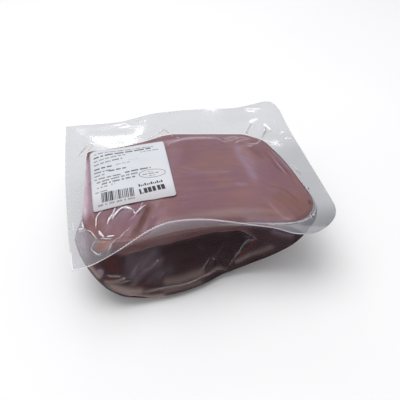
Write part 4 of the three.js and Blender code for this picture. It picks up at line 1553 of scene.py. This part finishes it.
@dataclass
class WeldedRim:
    """The two films where they are welded together, and their cut edge."""

    form: RimForm = field(default_factory=RimForm)
    finish: FilmFinish = FilmFinish(
        "welded_film", clearness=0.56, cloud=0.06, milky=linear(166, 168, 174), metallic=0.1,
        roughness=(0.146, 0.152), gain=0.8,
    )
    edge_finish: FilmFinish = FilmFinish(
        "film_cut_edge", clearness=0.12, cloud=0.1, milky=linear(244, 240, 250), metallic=0.0,
        roughness=(0.2, 0.3),
    )
    folds: tuple[Fold, ...] = RIM_FOLDS
    rings: int = 34
    inner_gap: float = -0.5
    edge_width: float = 1.5
    edge_thickness: float = 0.55
    wave_height: float = 0.12
    ring_crowding: float = 1.15
    last_ring: float = 1 - 1.6 / 25
    crinkle_from: float = 0.3
    crinkle_span: float = 1.4
    front_veil: float = 0.02
    front_zone: float = -60.0
    # Painted shadow in the film: at the front, and most at the front right corner.
    painted_shadow_x: Pair = (20.0, 112.0)
    front_painted_shadow: float = 0.42
    corner_painted_shadow: float = 0.55
    painted_shadow_front: Pair = (-70.0, 0.0)
    painted_shadow_corner: Pair = (70.0, 104.0)
    veil_rise: Pair = (-62.0, -40.0)
    veil_fall: Pair = (10.0, 40.0)
    clear_windows: tuple[tuple[float, Pair, Pair], ...] = (
        (0.8, (-90, -80), (-60, -44)),
        (0.35, (-108, -100), (-90, -80)),
        (0.35, (-10, 20), (40, 60)),
    )
    white_front: Pair = (84.0, 90.0)
    white_left: Pair = (-90.0, -66.0)

    def build(self, effects: SharedEffects) -> list[Piece]:
        """Builds the sheet and its cut edge."""
        edge, teeth = self.form.outline()
        shares = np.linspace(0, 1, self.rings) ** self.ring_crowding
        shares[-2] = self.last_ring
        rings = [self.form.point(edge, teeth, share, self.inner_gap) for share in np.sort(shares)]
        points = np.vstack(rings)
        height = np.zeros(len(points))
        for fold in self.folds:
            height += fold.at(points[:, :2])
        crinkle = np.clip((np.abs(height) - self.crinkle_from) / self.crinkle_span, 0, 1)
        share = np.repeat(np.sort(shares), len(edge))
        waves = Ripples(SEED + 8, (22.0, 60.0)).at(points[:, :2])
        points[:, 2] += height + self.wave_height * waves * ease(share, 0, 0.3)
        faces = ring_faces(self.rings, len(edge)).tolist()
        sheet = make_piece("rim_film", points, faces, self.finish.material(effects))
        carry(sheet, "crinkle", 0.5 * crinkle)
        carry(sheet, "painted_shadow", self.painted_shadow(points))
        carry(sheet, Tint.VEIL.value, self.veil(points, share))
        carry(sheet, "hidden", self.clear_stretch(points))
        seat(sheet, "film", "film_rim")
        return [sheet, self.cut_edge(points[-len(edge):], points[-2 * len(edge):-len(edge)], effects)]

    def painted_shadow(self, points: np.ndarray) -> np.ndarray:
        """Painted shadow: how much darker grey the film is, clear at the left, and most at the front right
        corner.
        """
        front = self.front_painted_shadow * ease(-points[:, 1], *self.painted_shadow_front)
        corner = self.corner_painted_shadow * ease(-points[:, 1], *self.painted_shadow_corner)
        return ease(points[:, 0], *self.painted_shadow_x) * (front + corner)

    def veil(self, points: np.ndarray, share: np.ndarray) -> np.ndarray:
        """How milky the film is where its front edge curls up."""
        along = window(points[:, 0], self.veil_rise, self.veil_fall)
        return self.front_veil * along * (points[:, 1] < self.front_zone) * ease(share, 0.1, 0.5)

    def clear_stretch(self, points: np.ndarray) -> np.ndarray:
        """Where the film is quite clear: by its front edge, most of all left of the middle."""
        clearest = np.zeros(len(points))
        for share, rise, fall in self.clear_windows:
            clearest = np.maximum(clearest, share * window(points[:, 0], rise, fall))
        return clearest * (points[:, 1] < self.front_zone)

    def cut_edge(self, outer: np.ndarray, inner: np.ndarray, effects: SharedEffects) -> Piece:
        """Builds the milky cut edge: a thin band round the sheet's free edge.

        Args:
            outer: The sheet's last ring of points.
            inner: The ring before it.
            effects: The shared node groups.

        Returns:
            The piece.
        """
        inward = inner - outer
        inward /= np.maximum(np.linalg.norm(inward, axis=1, keepdims=True), 1e-9)
        lift = np.array((0, 0, self.edge_thickness / 2))
        rings = [outer + lift, outer - lift]
        rings += [outer + inward * self.edge_width - lift, outer + inward * self.edge_width + lift]
        points = np.vstack([*rings, rings[0]])
        count = len(outer)
        faces = ring_faces(5, count)
        faces = np.where(faces >= 4 * count, faces - 4 * count, faces)[:, ::-1]
        material = self.edge_finish.material(effects)
        piece = make_piece("rim_cut_edge", points[: 4 * count], faces.tolist(), material)
        front = ease(-outer[:, 1], *self.white_front) * ease(-outer[:, 0], *self.white_left)
        carry(piece, "hidden", np.tile(1 - front, 4))
        return seat(piece, "film")


class Drape:
    """The films, as one surface that things are laid on."""

    ABOVE = 200.0
    AHEAD = -300.0

    def __init__(self, pieces: list[Piece]) -> None:
        """Gathers the pieces' faces."""
        points = []
        faces = []
        for piece in pieces:
            first = len(points)
            points += [vertex.co / MM - PACK_PLACE for vertex in piece.data.vertices]
            faces += [[first + corner for corner in face.vertices] for face in piece.data.polygons]
        self.tree = BVHTree.FromPolygons(points, faces)

    def under(self, places: np.ndarray, face: Face) -> tuple[np.ndarray, np.ndarray]:
        """Where the films are at places of a face.

        Args:
            places: Places of the face, one a row.
            face: The face: the top is met from above, and the front wall from the front.

        Returns:
            The films' points and their outward normals there.
        """
        hits = []
        for first, second in places:
            if face is Face.TOP:
                start, way = Vector((first, second, self.ABOVE)), Vector((0, 0, -1))
            else:
                start, way = Vector((first, self.AHEAD, SEAL_HEIGHT + second)), Vector((0, 1, 0))
            point, normal, _, _ = self.tree.ray_cast(start, way)
            hits.append((point or start, normal if normal and normal.dot(way) < 0 else -(normal or way)))
        return np.array([hit[0] for hit in hits]), np.array([hit[1] for hit in hits])


@dataclass
class FilmCreases:
    """Creases along the folds' crests: low tents of film that taper to their ends, painted as highlight,
    shadow or juice.
    """

    folds: tuple[Fold, ...]
    finish: CreaseFinish = field(default_factory=CreaseFinish)
    spacing: float = 0.6
    profile: Line = ((-1.0, 0.0), (-0.55, 0.75), (0.0, 1.0), (0.55, 0.75), (1.0, 0.0))
    lift: float = 0.12
    crest: float = 0.22
    taper_rate: float = 4.5
    taper_bend: float = 0.7
    unevenness: float = 0.2
    end_width: float = 0.15
    end_shine: float = 0.3

    def ribbon(self, fold: Fold, drape: Drape, number: int) -> tuple[np.ndarray, np.ndarray]:
        """Lays one crease.

        Args:
            fold: The fold that it runs along.
            drape: The films under it.
            number: Its number, which seeds its uneven width.

        Returns:
            Its points, row by row across it, and how strong it is at each.
        """
        line = evenly(smooth_path(fold.path), self.spacing)
        along = np.gradient(line, axis=0)
        side = np.column_stack([-along[:, 1], along[:, 0]]) / np.linalg.norm(along, axis=1, keepdims=True)
        share = np.linspace(0, 1, len(line))
        taper = np.minimum(1, self.taper_rate * np.minimum(share, 1 - share)) ** self.taper_bend
        uneven = 1 + self.unevenness * Ripples(SEED + 40 + number, (5.0, 14.0)).at(line)
        width = fold.crease_width * (self.end_width + (1 - self.end_width) * taper) * uneven
        strength = fold.shine * (self.end_shine + (1 - self.end_shine) * taper)
        rows = []
        masks = []
        for across, height in self.profile:
            points, normals = drape.under(line + side * (across * width)[:, None], fold.face)
            rows.append(points + normals * (self.lift + self.crest * height * fold.crease_width))
            masks.append(height * strength)
        return np.stack(rows, axis=1).reshape(-1, 3), np.stack(masks, axis=1).ravel()

    def build(self, drape: Drape) -> Piece:
        """Builds all the creases as one piece."""
        points = []
        masks = []
        casts = []
        faces = []
        across = len(self.profile)
        for number, fold in enumerate(self.folds):
            ribbon, mask = self.ribbon(fold, drape, number)
            first = sum(len(earlier) for earlier in points)
            faces += grid_faces(across, len(ribbon) // across, first)
            points.append(ribbon)
            masks.append(mask)
            casts += [fold.cast] * len(ribbon)
        piece = make_piece("film_creases", np.vstack(points), faces, self.finish.material())
        carry(piece, "crease", np.concatenate(masks))
        carry(piece, "juicy", np.array([float(cast is Cast.JUICE) for cast in casts]))
        carry(piece, "painted_crease_shadow", np.array([float(cast is Cast.PAINTED_SHADOW_LINE) for cast in casts]))
        return seat(piece, "film")


@dataclass(frozen=True)
class TextRow:
    """A row of printed words, shown as plain blocks: its two ends, and how heavy it is."""

    start: Pair
    end: Pair
    height: float
    weight: float = 0.62


TEXT_ROWS = (
    ((-32.7, 37.6), (27, 37.2), 1.9, 0.5),
    ((-33.6, 31.8), (26, 34.6), 2.4, 0.8),
    ((12.5, 29.6), (31, 30.4), 1.6, 0.5),
    ((-33.6, 25.6), (-1.5, 28.8), 1.9, 0.55),
    ((-33.6, 19.6), (-5.5, 22.8), 2.0, 0.62),
    ((-33.6, 12.4), (-16.5, 12.9), 2.2, 0.8),
    ((-12.5, 13.3), (3, 15), 1.6, 0.4),
    ((-0.5, 18), (9, 18.8), 0.7, 0.3),
    ((-33.8, 7), (-16.5, 7), 2.0, 0.65),
    ((-19.5, 5.4), (-2, 6.2), 2.1, 0.75),
    ((-33.9, 1.4), (-23, 2.2), 2.0, 0.55),
    ((-34, -3.6), (-7, -2.6), 2.0, 0.6),
    ((-5, -1), (20.5, 2.2), 2.2, 0.75),
    ((-32, -8.6), (7, -4), 2.1, 0.62),
    ((-27.5, -12), (4.5, -8.8), 2.2, 0.7),
    ((-32.2, -16.4), (-22, -15.8), 1.8, 0.5),
    ((-19, -15), (-14.5, -14.4), 1.6, 0.45),
    ((-34, -22.4), (-21, -21.6), 1.7, 0.5),
    ((-32.5, -38.6), (1, -38.4), 2.4, 0.45),
    ((16, -4.6), (21.5, -4.2), 1.1, 0.5),
    ((11, -8), (27.5, -6.8), 1.5, 0.6),
    ((16.5, -10.9), (23.5, -10.4), 1.2, 0.5),
)
BAR_WIDTHS = (0.4, 0.75, 1.1, 1.5)
BAR_WIDTH_ODDS = (0.35, 0.3, 0.22, 0.13)
BAR_GAPS = (0.33, 0.66, 0.99)
BAR_GAP_ODDS = (0.5, 0.35, 0.15)
SMALL_BLOCKS = (1.4, 1.1, 0.8, 1.4, 1.2, 1.0, 1.5, 0.9, 1.2, 1.4, 1.1, 1.3)
LARGE_BLOCKS = (1.7, 0.9, 3.1, 3.2, 3.0, 0.0, 2.9, 3.3)


@dataclass(frozen=True)
class HeavyRow:
    """A row of uneven heavy blocks, the narrow ones lower. A width of 0 leaves a wider gap."""

    start: Pair
    end: Pair
    height: float
    widths: tuple[float, ...]
    gap: float
    low_under: float
    low_share: float


@dataclass
class WeightLabel:
    """The white label and its print, which is plain blocks, bars and an oval."""

    form: BreastForm
    paper: PaperFinish = field(default_factory=PaperFinish)
    ink: InkFinish = field(default_factory=InkFinish)
    width: float = 75.0
    height: float = 89.0
    corner: float = 3.0
    middle: Pair = (-57.0, 0.0)
    turn: float = -0.017
    lift: float = 0.62
    thickness: float = 0.16
    grid: float = 1.5
    print_lift: float = 0.07
    wave_height: float = 0.12
    rows: tuple[TextRow, ...] = tuple(TextRow(*row) for row in TEXT_ROWS)
    heavy_rows: tuple[HeavyRow, ...] = (
        HeavyRow((5.5, -23.2), (31.5, -21), 3.5, SMALL_BLOCKS, 0.65, 1.26, 0.62),
        HeavyRow((5.4, -32), (33, -29), 7.0, LARGE_BLOCKS, 0.7, 1.0, 0.24),
    )
    bars: tuple[float, float, float, float] = (-29.0, -36.0, 1.5, -24.0)
    oval_middle: Pair = (20.0, -7.6)
    oval_half: Pair = (12.6, 6.4)
    oval_line: float = 0.45
    letter_widths: Pair = (0.34, 0.52)
    letter_heights: Pair = (0.62, 1.0)
    word_gap: float = 0.7

    def surface(self, flat: np.ndarray, lift: float) -> np.ndarray:
        """Puts places on the flat label onto the pack.

        Args:
            flat: Places from the label's middle, one a row.
            lift: How high they lie over the breast's upper face.

        Returns:
            Points in the pack's frame.
        """
        cos, sin = math.cos(self.turn), math.sin(self.turn)
        plan = flat @ np.array(((cos, sin), (-sin, cos))) + self.middle
        wave = self.wave_height * Ripples(SEED + 9, (30.0, 70.0)).at(flat)
        return np.column_stack([plan, SEAL_HEIGHT + self.form.crown(plan) + lift + wave])

    def build(self, effects: SharedEffects) -> list[Piece]:
        """Builds the paper and its print."""
        half = np.array((self.width / 2, self.height / 2))
        across = np.linspace(-1, 1, round(self.width / self.grid) + 1)
        up = np.linspace(-1, 1, round(self.height / self.grid) + 1)
        flat = np.array([(u * half[0], v * half[1]) for v in up for u in across])
        inside = np.maximum(np.abs(flat) - (half - self.corner), 0)
        length = np.hypot(*inside.T)
        pull = np.where(length > 0, inside.max(axis=1) / np.maximum(length, 1e-9), 1.0)
        flat = np.sign(flat) * (np.minimum(np.abs(flat), half - self.corner) + inside * pull[:, None])
        faces = grid_faces(len(across), len(up))
        paper = make_piece("label_sheet", self.surface(flat, self.lift), faces, self.paper.material(effects))
        thick = paper.modifiers.new("paper_thickness", "SOLIDIFY")
        thick.thickness = self.thickness * MM
        thick.offset = -1
        return [seat(paper, "label_paper", "label"), self.build_print()]

    def blocks(self) -> list[np.ndarray]:
        """The corners of every printed block, on the flat label."""
        draw = np.random.default_rng(SEED + 12)
        found = []
        for row in self.rows:
            start, end = np.array(row.start), np.array(row.end)
            total = np.linalg.norm(end - start)
            ahead = (end - start) / total
            over = np.array((-ahead[1], ahead[0])) * row.height / 2
            at = 0.0
            letters = draw.integers(3, 9)
            while at < total - 0.8:
                wide = row.height * draw.uniform(*self.letter_widths)
                left, right = start + ahead * at, start + ahead * (at + wide * row.weight)
                tall = draw.uniform(*self.letter_heights)
                found.append(np.array((left - over, right - over, right + over * tall, left + over * tall)))
                at += wide
                letters -= 1
                if letters == 0:
                    at += row.height * self.word_gap
                    letters = draw.integers(2, 10)
        return found + self.stripes(draw) + self.weight_blocks()

    def stripes(self, draw: np.random.Generator) -> list[np.ndarray]:
        """Upright bars of uneven widths, at the lower left."""
        left, low, right, high = self.bars
        found = []
        at = left
        while at < right - 0.5:
            wide = draw.choice(BAR_WIDTHS, p=BAR_WIDTH_ODDS)
            found.append(np.array(((at, low), (at + wide, low), (at + wide, high), (at, high))))
            at += wide + draw.choice(BAR_GAPS, p=BAR_GAP_ODDS)
        return found

    def weight_blocks(self) -> list[np.ndarray]:
        """The blocks of the two heavy rows at the lower right."""
        found = []
        for row in self.heavy_rows:
            start, end = np.array(row.start), np.array(row.end)
            ahead = (end - start) / np.linalg.norm(end - start)
            over = np.array((-ahead[1], ahead[0])) * row.height / 2
            at = 0.0
            for number, wide in enumerate(row.widths):
                low = row.low_share if wide < row.low_under else 1.0
                left = start + ahead * at
                right = left + ahead * wide
                top = over * (2 * low - 1)
                if wide:
                    found.append(np.array((left - over, right - over, right + top, left + top)))
                at += wide + row.gap * (1.0 + 0.25 * (number % 2))
        return found

    def build_print(self) -> Piece:
        """Builds all the print as one thin piece that follows the paper."""
        flats = []
        faces = []
        for corners in self.blocks():
            tall = np.linalg.norm(corners[3] - corners[0])
            steps = max(1, round(tall / 3)) + 1
            first = sum(len(flat) for flat in flats)
            rungs = [
                low + (high - low) * t
                for t in np.linspace(0, 1, steps)
                for low, high in ((corners[0], corners[3]), (corners[1], corners[2]))
            ]
            flats.append(np.array(rungs))
            faces += grid_faces(2, steps, first)
        first = sum(len(flat) for flat in flats)
        turns = np.linspace(0, math.tau, 96, endpoint=False)
        round_way = np.stack([np.cos(turns), np.sin(turns)], axis=1)
        half = np.array(self.oval_half)
        outer = np.array(self.oval_middle) + round_way * half
        inner = np.array(self.oval_middle) + round_way * (half - self.oval_line)
        flats += [inner, outer]
        faces += ring_faces(2, len(turns), first).tolist()
        points = self.surface(np.vstack(flats), self.lift + self.print_lift)
        piece = make_piece("label_print", points, faces, self.ink.material())
        return seat(piece, "label_paper")


@dataclass
class JuicePocket:
    """A little juice caught between the films at the front left corner."""

    finish: JuiceFinish = field(default_factory=JuiceFinish)
    outline: Line = (
        (-94.3, -79), (-88.5, -79.3), (-82.4, -82.6), (-83.6, -88), (-86.6, -94.5), (-91.8, -96),
        (-96.4, -92), (-98, -86.3), (-94.3, -79),
    )
    middle: Pair = (-90.5, -87.0)
    rise: Pair = (0.2, 0.7)
    rings: int = 10
    thicker_inward: Pair = (-184.0, -166.0)
    thin_share: float = 0.45

    def build(self, drape: Drape) -> Piece:
        """Builds the pocket as a low dome on the rim."""
        ring = smooth_path(self.outline, 8)[:-1]
        middle = np.array(self.middle)
        shares = np.arange(1, self.rings + 1) / self.rings
        plan = np.vstack([middle[None, :], *[middle + (ring - middle) * share for share in shares]])
        share = np.concatenate([[0], np.repeat(shares, len(ring))])
        points, _ = drape.under(plan, Face.TOP)
        points[:, 2] += self.rise[0] + self.rise[1] * (1 - share**2)
        faces = ring_faces(self.rings, len(ring), 1).tolist()
        faces += [[0, 1 + i, 1 + (i + 1) % len(ring)] for i in range(len(ring))]
        piece = make_piece("juice_pocket", points, faces, self.finish.material())
        inward = ease(plan.sum(axis=1), *self.thicker_inward)
        carry(piece, "thick", (1 - share**4) * (self.thin_share + (1 - self.thin_share) * inward))
        return seat(piece, "meat")


@dataclass(frozen=True)
class SoftLight:
    """A square soft light that looks at the pack."""

    name: str
    place: Triple
    size: Pair
    watts: float
    colour: Triple = (1.0, 1.0, 1.0)

    def build(self, target: Vector) -> Piece:
        """Builds the light."""
        lamp = bpy.data.lights.new(self.name, "AREA")
        lamp.shape = "RECTANGLE"
        lamp.size = self.size[0] * MM
        lamp.size_y = self.size[1] * MM
        lamp.energy = self.watts
        lamp.color = self.colour
        light = bpy.data.objects.new(self.name, lamp)
        light.location = Vector(self.place) * MM
        light.rotation_mode = "QUATERNION"
        light.rotation_quaternion = (target - light.location).to_track_quat("-Z", "Y")
        bpy.context.scene.collection.objects.link(light)
        return light


@dataclass
class Studio:
    """The pale floor, the soft lights and the camera."""

    floor_half: float = 4000.0
    floor_drop: float = 0.2
    look_at: Triple = (0.0, 0.0, 50.0)
    camera_place: Triple = (-68.53, -419.29, 385.32)
    camera_right: Triple = (0.97897, -0.20288, -0.02121)
    camera_up: Triple = (0.14721, 0.63066, 0.76197)
    camera_forward: Triple = (0.14122, 0.74907, -0.64726)
    lens: float = 49.515
    sensor: float = 36.0
    world_strength: float = 0.6
    lights: tuple[SoftLight, ...] = (
        SoftLight("top_light", (-200, 150, 1400), (1200, 1200), 12.6),
        SoftLight("back_window", (-58, 1230, 761), (130, 66), 0.6),
        SoftLight("right_window", (440, 1120, 750), (90, 45), 0.36),
    )

    def build(self) -> None:
        """Builds the whole studio."""
        half = self.floor_half
        corners = np.array(((-half, -half, 0), (half, -half, 0), (half, half, 0), (-half, half, 0)))
        floor = make_piece("floor", corners, [[0, 1, 2, 3]], FloorFinish().material())
        floor.location.z = -self.floor_drop * MM
        for light in self.lights:
            light.build(Vector(self.look_at) * MM)
        self.build_world()
        self.build_camera()
        bpy.context.scene.view_settings.view_transform = "Standard"
        log.info("studio: %d lights", len(self.lights))

    def build_world(self) -> None:
        """Builds the even pale surroundings."""
        world = bpy.data.worlds.new("pale_surroundings")
        world.use_nodes = True
        background = world.node_tree.nodes["Background"]
        NodeBoard(world.node_tree).wire(background, Color=(1, 1, 1, 1), Strength=self.world_strength)
        bpy.context.scene.world = world

    def build_camera(self) -> None:
        """Builds the camera where the photograph was taken from."""
        lens = bpy.data.cameras.new("camera")
        lens.lens = self.lens
        lens.sensor_width = self.sensor
        lens.clip_end = 20
        camera = bpy.data.objects.new("camera", lens)
        right, up = Vector(self.camera_right), Vector(self.camera_up)
        turn = Matrix((right, up, -Vector(self.camera_forward))).transposed()
        camera.matrix_world = Matrix.Translation(Vector(self.camera_place) * MM) @ turn.to_4x4()
        bpy.context.scene.collection.objects.link(camera)
        bpy.context.scene.camera = camera


def main() -> None:
    """Builds the pack and the studio."""
    logging.basicConfig(level=logging.INFO, format="%(name)s %(message)s")
    effects = SharedEffects()
    skin = Skin()
    breast = Breast(skin)
    breast.build(effects)
    cling_film = ClingFilm(skin, breast.ledge)
    rim = WeldedRim()
    drape = Drape([cling_film.build(effects), rim.build(effects)[0]])
    FilmCreases(cling_film.folds + rim.folds).build(drape)
    WeightLabel(skin.form).build(effects)
    JuicePocket().build(drape)
    Studio().build()


if __name__ == "__main__":
    main()
